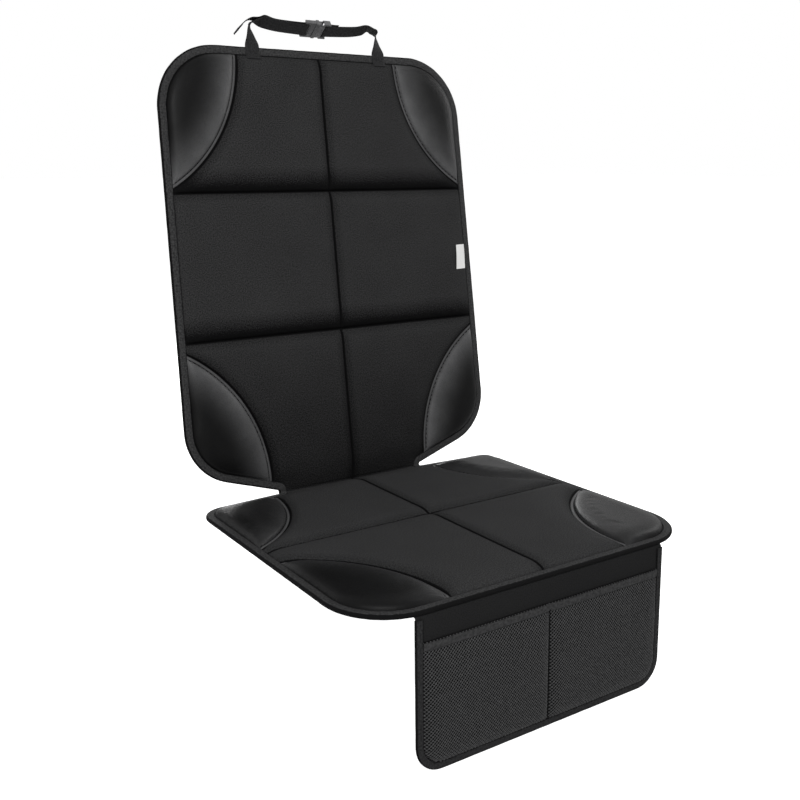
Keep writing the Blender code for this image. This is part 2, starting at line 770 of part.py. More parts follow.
def make_net():
    """Makes the net of the two pockets, sewn to the flap at its edges and down the middle."""
    mouth = [np.array([u, POCKET_MOUTH]) for u in net_columns()]
    right = [spot * [1, -1] for spot in FLAP_PAD_EDGE if -spot[1] > POCKET_MOUTH]
    left = [spot * [-1, 1] for spot in reversed(right)]
    border = np.array([*mouth, *right, *left])
    under_hem = np.array([spot + [0, HEM_HEIGHT] for spot in mouth])
    lip = inset(loop_of(FLAP_EDGE), NET_LIP) * [1, -1]
    seams = [spread((u, 0), (u, FLAP_DROP), 2) for u in (-DIVIDER, DIVIDER)]
    verts, faces = triangulate(border, [under_hem, lip, *seams], thin_out(net_guides(), border, []))
    heights = net_height(verts)
    body = Body(hang)
    for lift in (0.0, NET_THICKNESS):
        for face in faces:
            body.face([(*verts[i], heights[i] + lift) for i in face])
    rim = [(*verts[i], heights[i]) for i in rim_of(faces)]
    front = [(u, w, m + NET_THICKNESS) for u, w, m in rim]
    body.sheet([[*rim, rim[0]], [*front, front[0]]])
    return body.finish("pocket_net", netting())


def make_hem():
    """Makes the tape sewn on the net along the pockets' mouth."""
    reach = FLAP_WIDTH / 2 - NET_LIP - GAP
    across = [-reach, *(u for u in net_columns() if abs(u) < reach), reach]
    front, rear = [], []
    for w in (POCKET_MOUTH, POCKET_MOUTH + HEM_HEIGHT):
        heights = net_height([(u, w) for u in across]) + NET_THICKNESS + 1.5 * GAP
        front.append([(u, w, m + NET_THICKNESS) for u, m in zip(across, heights)])
        rear.append([(u, w, m) for u, m in zip(across, heights)])
    return slab("pocket_hem", front, rear, hang, tape())


def make_flap_binding():
    """Makes the tape folded over the flap's sides and bottom."""
    high = NET_BASE + NET_THICKNESS + GAP + FLAP_TAPE
    section = tape_profile(FLAP_BINDING_FACE, FLAP_TAPE, -GAP - FLAP_TAPE, high, BINDING_ROUND)
    rings = []
    for point, inward in loop_of(FLAP_EDGE):
        places = [(point + inward * d, m) for d, m in section]
        rings.append([hang(p[0], -p[1], m) for p, m in places])
    return sweep("flap_binding", rings, tape())


def smooth_route(stations, steps):
    """Runs a smooth curve through stations of place and width direction."""
    values = np.array([[*place, *width] for place, width in stations], float)
    values = np.vstack([2 * values[0] - values[1], values, 2 * values[-1] - values[-2]])
    found = []
    for i in range(1, len(values) - 2):
        a, b, c, d = values[i - 1 : i + 3]
        for t in np.arange(steps) / steps:
            bend = 2 * b + (c - a) * t + (2 * a - 5 * b + 4 * c - d) * t**2
            found.append((bend + (3 * b - a - 3 * c + d) * t**3) / 2)
    found.append(values[-2])
    return np.array(found)


def ribbon(name, stations, steps=3):
    """Makes webbing along stations in the back's flat plan, each with the direction of its width."""
    route = smooth_route(stations, steps)
    places = [fold(*row[:3]) for row in route]
    widths = [fold(*(row[:3] + 0.001 * row[3:])) - fold(*row[:3]) for row in route]
    rings = []
    for i, (place, width) in enumerate(zip(places, widths)):
        along = (places[min(i + 1, len(places) - 1)] - places[max(i - 1, 0)]).normalized()
        width = (width - along * width.dot(along)).normalized() * WEBBING_WIDTH / 2
        depth = width.cross(along).normalized() * WEBBING / 2
        upper, lower = place + depth, place - depth
        rings.append([upper + width, upper - width, lower - width, lower + width])
    return sweep(name, rings, webbing())


TAB_LIFT = GAP + WEBBING / 2


def buckle_frame():
    """Returns the placing of the buckle: X along the strap, Y across it, Z out of its face."""
    across = (0, math.cos(BUCKLE_LEAN), math.sin(BUCKLE_LEAN))
    middle = (0, BACK_HEIGHT + STRAP_RISE - STRAP_SAG, RUN_LEVEL)
    origin = fold(*middle)
    x = Vector((1, 0, 0))
    y = (fold(*(a + 0.001 * b for a, b in zip(middle, across))) - origin).normalized()
    z = x.cross(y)
    turn = Matrix((x, y, z)).transposed().to_4x4()
    return Matrix.Translation(origin) @ turn


def strap_stations(side):
    """Returns the route of one strap half, from its sewn tab to the buckle's bar."""
    anchor = side * STRAP_SPAN / 2
    top = BACK_HEIGHT + STRAP_RISE
    flat, edge_on = (-1, 0, 0), (0, 0, 1)
    lean = (0, math.cos(BUCKLE_LEAN), math.sin(BUCKLE_LEAN))
    low = BACK_HEIGHT - TAB_LENGTH
    pad = float(BACK.top([(anchor, low)], FIELD_CROWN)[0])
    rest = BINDING_TOP + TAB_LIFT + GAP
    run = top - STRAP_SAG
    return [
        ((anchor, low, max(pad + TAB_LIFT, rest) + 0.0006), flat),
        ((anchor, BACK_HEIGHT - BINDING_FACE * 0.8, rest), flat),
        ((anchor, BACK_HEIGHT - BINDING_FACE * 0.3, rest), flat),
        ((anchor, BACK_HEIGHT + 0.002, rest), flat),
        ((anchor, BACK_HEIGHT + 0.35 * STRAP_RISE, rest), (-0.87, 0, 0.48)),
        ((anchor, top - STRAP_TURN, RUN_LEVEL), (-0.55, 0, 0.84)),
        ((anchor - side * STRAP_TURN * 0.35, top - STRAP_TURN * 0.3, RUN_LEVEL), edge_on),
        ((anchor - side * STRAP_TURN, top, RUN_LEVEL), edge_on),
        ((anchor - side * STRAP_TURN * 2.2, top - STRAP_SAG * 0.2, RUN_LEVEL), (0, 0.5, 0.87)),
        ((anchor - side * STRAP_TURN * 4.0, top - STRAP_SAG * 0.7, RUN_LEVEL), lean),
        ((anchor - side * STRAP_TURN * 6.0, run, RUN_LEVEL), lean),
    ]


def off_face(place, amount):
    """Moves a station off the strap's leaning face, forwards for a positive amount."""
    up, out = -math.sin(BUCKLE_LEAN) * amount, math.cos(BUCKLE_LEAN) * amount
    return (place[0], place[1] + up, place[2] + out)


def loop_round_bar(side, bar_at, stations, end_run):
    """Adds the turn round a buckle's bar and the run that comes back behind the strap."""
    lean = (0, math.cos(BUCKLE_LEAN), math.sin(BUCKLE_LEAN))
    level = stations[-1][0]
    apart = BAR / 2 * math.sqrt(2) + GAP + WEBBING / 2
    centre = (bar_at, level[1], level[2])
    turn = []
    for angle in (90, 45, 0, -45, -90):
        c, s = math.cos(math.radians(angle)), math.sin(math.radians(angle))
        spot = (centre[0] - side * apart * c, centre[1], centre[2])
        turn.append((off_face(spot, apart * s), lean))
    close = (WEBBING + GAP) / 2 * 1.2
    for i in (-1, -2):
        place, width = stations[i]
        stations[i] = (off_face(place, close), width)
    back = off_face((bar_at + side * 0.008, level[1], level[2]), -close)
    return stations + turn + [(back, lean)] + end_run(close)


def make_straps():
    """Makes both halves of the strap. The left one runs back on itself to its loose tail."""
    right = strap_stations(1)

    def short_return(close):
        far = off_face((BAR_PITCH + SHORT_RETURN, right[-1][0][1], right[-1][0][2]), -close)
        return [(far, right[-1][1])]

    ribbon("strap_right", loop_round_bar(1, BAR_PITCH, right, short_return))
    left = strap_stations(-1)
    top = BACK_HEIGHT + STRAP_RISE
    anchor = -STRAP_SPAN / 2

    def tail(close):
        lift = TAIL_LIFT * close
        run = off_face((anchor + STRAP_TURN * 4.0, top - STRAP_SAG * 0.7, RUN_LEVEL), -close)
        fall = TAIL_LENGTH * math.sqrt(0.5)
        return [
            (run, left[-1][1]),
            ((anchor + STRAP_TURN * 2.2, top - STRAP_SAG * 0.2 + lift, RUN_LEVEL - close), (0, 0.5, 0.87)),
            ((anchor + STRAP_TURN, top + lift, RUN_LEVEL), (0, 0, 1)),
            ((anchor, top + lift - 0.001, RUN_LEVEL), (0, 0, 1)),
            ((anchor - fall * 0.45, top + lift - fall * 0.34, RUN_LEVEL), (0, 0.15, 1)),
            ((anchor - fall, top + lift - fall * 0.85, RUN_LEVEL), (0, 0.25, 1)),
        ]

    ribbon("strap_left", loop_round_bar(-1, -BAR_PITCH, left, tail))


def block(name, size, centre):
    """Makes a box of the given size about a centre, before it is placed."""
    shape = bmesh.new()
    bmesh.ops.create_cube(shape, size=1.0)
    bmesh.ops.scale(shape, vec=Vector(size), verts=shape.verts)
    bmesh.ops.translate(shape, vec=Vector(centre), verts=shape.verts)
    mesh = bpy.data.meshes.new(name)
    shape.to_mesh(mesh)
    shape.free()
    made = bpy.data.objects.new(name, mesh)
    bpy.context.collection.objects.link(made)
    return made


def combine(target, other, operation):
    """Adds another body to a target or cuts it away, and hides the other."""
    modifier = target.modifiers.new(other.name, "BOOLEAN")
    modifier.object = other
    modifier.operation = operation
    modifier.solver = "EXACT"
    other.hide_render = True
    other.display_type = "WIRE"


def dress_moulding(target, cuts, additions):
    """Finishes a plastic moulding: cuts and additions, softened edges, its place and its material."""
    for piece in additions:
        combine(target, piece, "UNION")
    for piece in cuts:
        combine(target, piece, "DIFFERENCE")
    for piece in (target, *cuts, *additions):
        piece.matrix_world = buckle_frame()
    target.data.materials.append(moulding())


def bar_cutters(name, side, height):
    """Returns the cutters that leave a bar for the webbing, with a slot on each side of it."""
    bar_at = side * BAR_PITCH
    wide = WEBBING_WIDTH + SLOT_PLAY
    offset = (BAR + BAR_SLOT) / 2
    through = (BAR_SLOT, wide, 2 * height)
    relief = height - BAR
    return [
        block(f"{name}_inner_slot", through, (bar_at - offset, 0, 0)),
        block(f"{name}_outer_slot", through, (bar_at + offset, 0, 0)),
        block(f"{name}_face_relief", (BAR + CUT, wide, relief), (bar_at, 0, height / 2)),
        block(f"{name}_back_relief", (BAR + CUT, wide, relief), (bar_at, 0, -height / 2)),
    ]


def make_buckle():
    """Makes the two halves of the side-release buckle. The male half carries the adjuster's bars."""
    half = BUCKLE_LENGTH / 2
    length = half - BUCKLE_MOUTH
    hollow_length = length - BAR_SLOT - BAR_END - BUCKLE_WALL
    hollow_width = BUCKLE_WIDTH - 2 * BUCKLE_WALL
    hollow_height = BUCKLE_THICKNESS - 2 * BUCKLE_WALL
    middle = BUCKLE_MOUTH + hollow_length / 2
    housing_size = (length, BUCKLE_WIDTH, BUCKLE_THICKNESS)
    housing = block("buckle_female", housing_size, (BUCKLE_MOUTH + length / 2, 0, 0))
    hollow_size = (hollow_length + CUT, hollow_width, hollow_height)
    hollow = block("buckle_hollow", hollow_size, (middle - CUT / 2, 0, 0))
    window_size = (hollow_length * 0.55, BUCKLE_WIDTH + 2 * CUT, hollow_height * 0.8)
    window = block("buckle_windows", window_size, (middle + hollow_length * 0.05, 0, 0))
    cuts = [hollow, window, *bar_cutters("buckle_female", 1, BUCKLE_THICKNESS)]
    dress_moulding(housing, cuts, [])

    frame_length = half + BUCKLE_MOUTH - GAP
    frame = block("buckle_male", (frame_length, BUCKLE_WIDTH, MALE_HEIGHT), (-half + frame_length / 2, 0, 0))
    reach = hollow_length * 0.8 + PRONG_ROOT
    centre = BUCKLE_MOUTH - GAP - PRONG_ROOT + reach / 2
    height = hollow_height - 4 * GAP
    prongs = [block("buckle_tongue", (reach, TONGUE_WIDTH, height), (centre, 0, 0))]
    for side in (-1, 1):
        offset = side * ((hollow_width - PRONG_WIDTH) / 2 - 3 * GAP)
        prongs.append(block(f"buckle_prong_{side + 1}", (reach, PRONG_WIDTH, height), (centre, offset, 0)))
    dress_moulding(frame, bar_cutters("buckle_male", -1, MALE_HEIGHT), prongs)


def make_tag():
    """Makes the blank white tag, sewn in beside the binding on the right."""
    taper = (BACK_WIDTH_BOTTOM - BACK_WIDTH_TOP) / 2
    start = BACK_WIDTH_BOTTOM / 2 - taper * TAG_HEIGHT / BACK_HEIGHT - LIP_END - TAG_STANDOFF
    front, rear = [], []
    for step in (-TAG_LENGTH / 2, TAG_LENGTH / 2):
        edge = start + math.sin(TAG_LEAN) * step
        across = [edge - TAG_WIDTH * share for share in TAG_COLUMNS]
        v = TAG_HEIGHT + step
        heights = BACK.top([(u, v) for u in across], FIELD_CROWN) + 2 * GAP
        front.append([(u, v, n + TAG_THICKNESS) for u, n in zip(across, heights)])
        rear.append([(u, v, n) for u, n in zip(across, heights)])
    return slab("side_tag", front, rear, fold, white_tape())


def main():
    clear_scene()
    make_backing()
    make_part(BACK)
    make_part(SEAT)
    make_edge_binding()
    make_flap_panel()
    make_net()
    make_hem()
    make_flap_binding()
    make_straps()
    make_buckle()
    make_tag()


main()
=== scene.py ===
"""Looks of a car seat protector mat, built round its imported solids.

The mat is drawn flat, as it is cut: u runs across it, v runs up the back and, below zero, towards the seat's
front, and n is the height above the outer face of its backing. The same bend as the real mat's crease then
brings it into its place. Every soft piece keeps its flat plan as its UV map, in metres, so a weave or a grain
follows the cloth. All sizes are in metres.
"""

import json
import logging
import math
from dataclasses import dataclass, field
from enum import Enum
from typing import Callable, Sequence

import bpy
import numpy as np
from mathutils import Euler, Matrix, Vector
from mathutils.bvhtree import BVHTree
from mathutils.geometry import delaunay_2d_cdt

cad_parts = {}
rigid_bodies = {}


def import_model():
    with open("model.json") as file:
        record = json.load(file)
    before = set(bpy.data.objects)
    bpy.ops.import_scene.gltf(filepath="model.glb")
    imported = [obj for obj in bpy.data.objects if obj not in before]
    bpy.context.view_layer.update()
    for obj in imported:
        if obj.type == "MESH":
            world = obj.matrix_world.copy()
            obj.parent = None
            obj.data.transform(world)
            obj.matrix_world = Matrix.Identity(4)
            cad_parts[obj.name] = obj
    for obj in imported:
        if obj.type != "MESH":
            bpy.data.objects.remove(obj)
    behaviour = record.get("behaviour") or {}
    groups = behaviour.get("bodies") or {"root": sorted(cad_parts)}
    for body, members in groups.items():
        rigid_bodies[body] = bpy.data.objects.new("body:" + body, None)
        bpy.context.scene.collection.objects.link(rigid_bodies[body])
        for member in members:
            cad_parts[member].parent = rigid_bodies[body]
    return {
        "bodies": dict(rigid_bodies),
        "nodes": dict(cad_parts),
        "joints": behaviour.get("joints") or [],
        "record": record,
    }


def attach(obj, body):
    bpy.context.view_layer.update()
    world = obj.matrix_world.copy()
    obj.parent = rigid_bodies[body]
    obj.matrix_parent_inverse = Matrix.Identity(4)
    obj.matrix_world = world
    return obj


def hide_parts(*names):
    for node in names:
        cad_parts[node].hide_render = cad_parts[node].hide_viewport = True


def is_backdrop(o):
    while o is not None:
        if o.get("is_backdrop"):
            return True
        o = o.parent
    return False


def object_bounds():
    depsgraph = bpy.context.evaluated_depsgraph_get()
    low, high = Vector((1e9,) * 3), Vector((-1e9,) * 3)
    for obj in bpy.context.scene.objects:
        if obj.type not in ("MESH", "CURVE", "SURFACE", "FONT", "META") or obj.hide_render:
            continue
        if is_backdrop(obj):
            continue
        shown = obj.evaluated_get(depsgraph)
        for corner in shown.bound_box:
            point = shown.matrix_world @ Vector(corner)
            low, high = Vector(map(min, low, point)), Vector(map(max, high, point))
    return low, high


Array = np.ndarray
Faces = list[list[int]]
Object = bpy.types.Object
Node = bpy.types.Node
Socket = bpy.types.NodeSocket
LOG = logging.getLogger("seat_protector")
PROBE = 0.001  # how far a point is moved to find a direction
MERGE_DISTANCE = 0.000005


class Side(Enum):
    """The two sides of the mat, as the photograph shows them."""

    LEFT = -1
    RIGHT = 1


class Corner(Enum):
    """The four kinds of leather corner, each named as its two pieces are."""

    BACK_TOP = "back_patch_top"
    BACK_BOTTOM = "back_patch_bottom"
    SEAT_REAR = "seat_patch_rear"
    SEAT_FRONT = "seat_patch_front"


def unit(vector: Array) -> Array:
    """Returns the vector at length one."""
    return vector / np.linalg.norm(vector)


def rise(share: Array) -> Array:
    """Returns the round shoulder of a pad, from 0 at its seam to 1 on its crown."""
    return np.sqrt(1 - (1 - np.clip(share, 0, 1)) ** 2)


def distance(points: Array, line: Array) -> Array:
    """Measures how far points are from a closed line.

    Args:
        points: flat points, one a row.
        line: the corners of the closed line, one a row.

    Returns:
        The distance of each point.
    """
    along = np.roll(line, -1, axis=0) - line
    square = np.maximum((along**2).sum(1), 1e-18)
    found = []
    for chunk in np.array_split(points, max(1, len(points) // 2000)):
        reach = chunk[:, None] - line
        t = np.clip((reach * along).sum(2) / square, 0, 1)
        found.append(np.sqrt(((reach - t[..., None] * along) ** 2).sum(2)).min(1))
    return np.concatenate(found) if found else np.zeros(0)


def inside(points: Array, line: Array) -> Array:
    """Says which points lie inside a closed line.

    Args:
        points: flat points, one a row.
        line: the corners of the closed line, one a row.

    Returns:
        One truth value for each point.
    """
    after = np.roll(line, -1, axis=0)
    slope = np.where(after[:, 1] == line[:, 1], 1.0, after[:, 1] - line[:, 1])
    found = []
    for chunk in np.array_split(points, max(1, len(points) // 4000)):
        x, y = chunk[:, 0, None], chunk[:, 1, None]
        straddles = (line[:, 1] > y) != (after[:, 1] > y)
        crossing = line[:, 0] + (y - line[:, 1]) * (after[:, 0] - line[:, 0]) / slope
        found.append((straddles & (x < crossing)).sum(1) % 2 == 1)
    return np.concatenate(found) if found else np.zeros(0, bool)


def travel_along(line: Array) -> Array:
    """Returns how far along an open line each of its points is."""
    return np.concatenate([[0], np.cumsum(np.linalg.norm(np.diff(line, axis=0), axis=1))])


def read_at(spot: float | Array, place: Array, values: Array) -> Array:
    """Returns values between the rows of an array, at spots among the places of its rows."""
    return np.stack([np.interp(spot, place, column) for column in values.T], axis=-1)


def along_line(line: Array, spacing: float) -> Array:
    """Spaces points evenly along an open line.

    Args:
        line: the line's points, of two or three coordinates.
        spacing: the wanted distance between points.

    Returns:
        The points, with both ends of the line.
    """
    place = travel_along(line)
    return read_at(np.linspace(0, place[-1], max(2, round(place[-1] / spacing) + 1)), place, line)


def straight(start: Sequence[float], end: Sequence[float], spacing: float) -> Array:
    """Returns evenly spaced points from start to end."""
    return along_line(np.array([start, end]), spacing)


def tape_plan(travel: Array, around: Array) -> Array:
    """Returns the flat places on a tape, by the way along it and the way round it."""
    return np.stack(np.broadcast_arrays(travel[:, None], around[None]), axis=2)


def ripple(places: Array, wavelength: float, seed: int) -> Array:
    """Returns a gentle repeatable waviness between -1 and 1.

    Args:
        places: distances along a piece.
        wavelength: the mean length of a wave.
        seed: chooses the waves.

    Returns:
        The waviness at each place.
    """
    chance = np.random.default_rng(seed)
    total = np.zeros_like(places, dtype=float)
    for _ in range(5):
        total += np.sin(places * 2 * math.pi / (wavelength * chance.uniform(0.6, 1.8)) + chance.uniform(0, 7))
    return total / 5


def rim_of(faces: Faces) -> list[int]:
    """Finds the border of a sheet of faces.

    Args:
        faces: lists of point numbers, all turned the same way.

    Returns:
        The point numbers round the border.
    """
    edges = {(a, b) for face in faces for a, b in zip(face, [*face[1:], face[0]])}
    ahead = {a: b for a, b in edges if (b, a) not in edges}
    run = [min(ahead)]
    while ahead[run[-1]] != run[0]:
        run.append(ahead[run[-1]])
    return run


def triangulate(border: Array, lines: Sequence[Array], loose: Array) -> tuple[Array, Faces]:
    """Fills a border with triangles that follow the lines and use the loose points.

    Args:
        border: the corners of the closed border.
        lines: open lines that the triangles may not cross.
        loose: further points.

    Returns:
        The flat points and the triangles between them.
    """
    spots = list(border)
    edges = [(i, (i + 1) % len(border)) for i in range(len(border))]
    for line in lines:
        edges += [(len(spots) + i, len(spots) + i + 1) for i in range(len(line) - 1)]
        spots += list(line)
    spots += list(loose)
    made = delaunay_2d_cdt([Vector(spot) for spot in spots], edges, [], 0, 1e-7)
    verts = np.array([tuple(vert) for vert in made[0]])
    faces = np.array([list(face) for face in made[2]])
    faces = faces[inside(verts[faces].mean(axis=1), border)]
    used = np.unique(faces)
    number = np.zeros(len(verts), int)
    number[used] = np.arange(len(used))
    return verts[used], number[faces].tolist()


@dataclass
class Shell:
    """A mesh in the making: its points in the world, their flat places and the faces between them."""

    points: list[Array] = field(default_factory=list)
    plans: list[Array] = field(default_factory=list)
    faces: Faces = field(default_factory=list)
    count: int = 0

    def add(self, points: Array, plans: Array, faces: Faces) -> list[int]:
        """Adds points and the faces between them.

        Args:
            points: places in the world.
            plans: the flat place of each point, for the UV map.
            faces: point numbers, counted within these points.

        Returns:
            The numbers that the points got.
        """
        start = self.count
        self.points.append(np.asarray(points, float))
        self.plans.append(np.asarray(plans, float))
        self.faces += [[start + i for i in face] for face in faces]
        self.count += len(points)
        return list(range(start, self.count))

    def grid(self, points: Array, plans: Array, closed: bool = False, flip: bool = False) -> Array:
        """Adds a grid of points with quads between them.

        Args:
            points: an array of rows by columns by three.
            plans: an array of rows by columns by two.
            closed: joins the last column to the first.
            flip: turns the faces over.

        Returns:
            The point numbers as rows and columns.
        """
        rows, columns = points.shape[:2]
        numbers = np.arange(rows * columns).reshape(rows, columns)
        after = np.roll(numbers, -1, axis=1) if closed else numbers[:, 1:]
        before = numbers if closed else numbers[:, :-1]
        quads = np.stack([before[:-1], after[:-1], after[1:], before[1:]], axis=-1).reshape(-1, 4)
        quads = quads[:, ::-1] if flip else quads
        start = self.count
        self.add(points.reshape(-1, 3), plans.reshape(-1, 2), quads.tolist())
        return numbers + start

    def tube(self, points: Array, plans: Array) -> None:
        """Adds a grid that is closed round its columns, with a face over each end."""
        numbers = self.grid(points, plans, closed=True)
        self.faces += [numbers[0].tolist(), numbers[-1][::-1].tolist()]

    def skirt(self, top: Array, low: Array) -> None:
        """Joins the rims of two grids of one size.

        Args:
            top: the upper grid's point numbers.
            low: the lower grid's point numbers.
        """
        ring, under = (
            [int(n) for n in (*grid[0], *grid[1:, -1], *grid[-1, -2::-1], *grid[-2:0:-1, 0])] for grid in (top, low)
        )
        for i in range(len(ring)):
            j = (i + 1) % len(ring)
            self.faces.append([ring[j], ring[i], under[i], under[j]])

    def make(self, name: str, material: bpy.types.Material, sharp: float = 55.0) -> Object:
        """Makes the object.

        Args:
            name: the object's name.
            material: what it is made of.
            sharp: edges over this angle, in degrees, stay sharp.

        Returns:
            The new object, linked to the scene.
        """
        mesh = bpy.data.meshes.new(name)
        mesh.from_pydata(np.concatenate(self.points).tolist(), [], self.faces)
        layer = mesh.uv_layers.new(name="plan")
        corners = np.zeros(len(mesh.loops), np.int32)
        mesh.loops.foreach_get("vertex_index", corners)
        layer.data.foreach_set("uv", np.concatenate(self.plans)[corners].astype(np.float32).ravel())
        mesh.materials.append(material)
        mesh.shade_smooth()
        mesh.set_sharp_from_angle(angle=math.radians(sharp))
        mesh.validate()
        made = bpy.data.objects.new(name, mesh)
        bpy.context.collection.objects.link(made)
        return made


def activate(obj: Object) -> None:
    """Selects one object alone and makes it the active one."""
    bpy.ops.object.select_all(action="DESELECT")
    bpy.context.view_layer.objects.active = obj
    obj.select_set(True)


def mend(obj: Object, merge: bool = False) -> None:
    """Turns an object's faces outwards.

    Args:
        obj: the object.
        merge: merges its points that coincide first.
    """
    activate(obj)
    bpy.ops.object.mode_set(mode="EDIT")
    bpy.ops.mesh.select_all(action="SELECT")
    if merge:
        bpy.ops.mesh.remove_doubles(threshold=MERGE_DISTANCE)
    bpy.ops.mesh.normals_make_consistent(inside=False)
    bpy.ops.object.mode_set(mode="OBJECT")
    obj.select_set(False)


def settle(obj: Object, slot: str, *nodes: str) -> Object:
    """Puts a finished piece in the place of its solids.

    Args:
        obj: the piece.
        slot: the material slot of the record; it is not used.
        nodes: the solids that it stands for.

    Returns:
        The same piece.
    """
    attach(obj, "root")
    if nodes:
        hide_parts(*nodes)
    LOG.info("%s: %d faces", obj.name, len(obj.data.polygons))
    return obj


class Graph:
    """Adds nodes to a tree, one call each."""

    def __init__(self, tree: bpy.types.NodeTree) -> None:
        """Keeps the tree."""
        self.tree = tree
        self.column = 0

    def add(self, kind: str, inputs: dict | None = None, **options: object) -> Node:
        """Adds a node.

        Args:
            kind: the node's type, without its ShaderNode prefix.
            inputs: values or sockets for its inputs, by name or number.
            options: properties of the node itself.

        Returns:
            The node.
        """
        node = self.tree.nodes.new("ShaderNode" + kind)
        node.location = (self.column * 170, -(self.column % 4) * 160)
        self.column += 1
        for key, value in options.items():
            setattr(node, key, value)
        for key, value in (inputs or {}).items():
            socket = node.inputs[key]
            if isinstance(value, Socket):
                self.tree.links.new(value, socket)
            else:
                socket.default_value = value
        return node

    def math(self, operation: str, first: object, second: object = 0.0, clamp: bool = False) -> Socket:
        """Adds a Math node.

        Args:
            operation: what it does.
            first: its first value or socket.
            second: its second value or socket.
            clamp: keeps the result between 0 and 1.

        Returns:
            The result's socket.
        """
        return self.add("Math", {0: first, 1: second}, operation=operation, use_clamp=clamp).outputs[0]

    def times(self, first: object, second: object) -> Socket:
        """Multiplies two values or sockets."""
        return self.math("MULTIPLY", first, second)

    def plus(self, first: object, second: object) -> Socket:
        """Adds two values or sockets."""
        return self.math("ADD", first, second)

    def remap(self, value: object, low: float, high: float, to_low: float, to_high: float) -> Socket:
        """Maps a range to another, clamped.

        Args:
            value: the socket to map.
            low: the start of its range.
            high: the end of its range.
            to_low: what the start becomes.
            to_high: what the end becomes.

        Returns:
            The result's socket.
        """
        settings = {"Value": value, "From Min": low, "From Max": high, "To Min": to_low, "To Max": to_high}
        return self.add("MapRange", settings).outputs["Result"]

    def noise(self, vector: object, scale: float, detail: float = 2.0) -> Socket:
        """Adds a Noise texture.

        Args:
            vector: where it is read.
            scale: waves in a metre, roughly.
            detail: how many finer octaves it has.

        Returns:
            The noise's value.
        """
        settings = {"Vector": vector, "Scale": scale, "Detail": detail}
        return self.add("TexNoise", settings).outputs["Fac"]


class PatternKind(Enum):
    """The shared surface patterns. Each is one node group."""

    WEAVE = "plain_weave"
    GRAIN = "leather_grain"
    RIB = "ribbed_tape"
    HANDLING = "handling_marks"
    SEAMS = "seam_map"


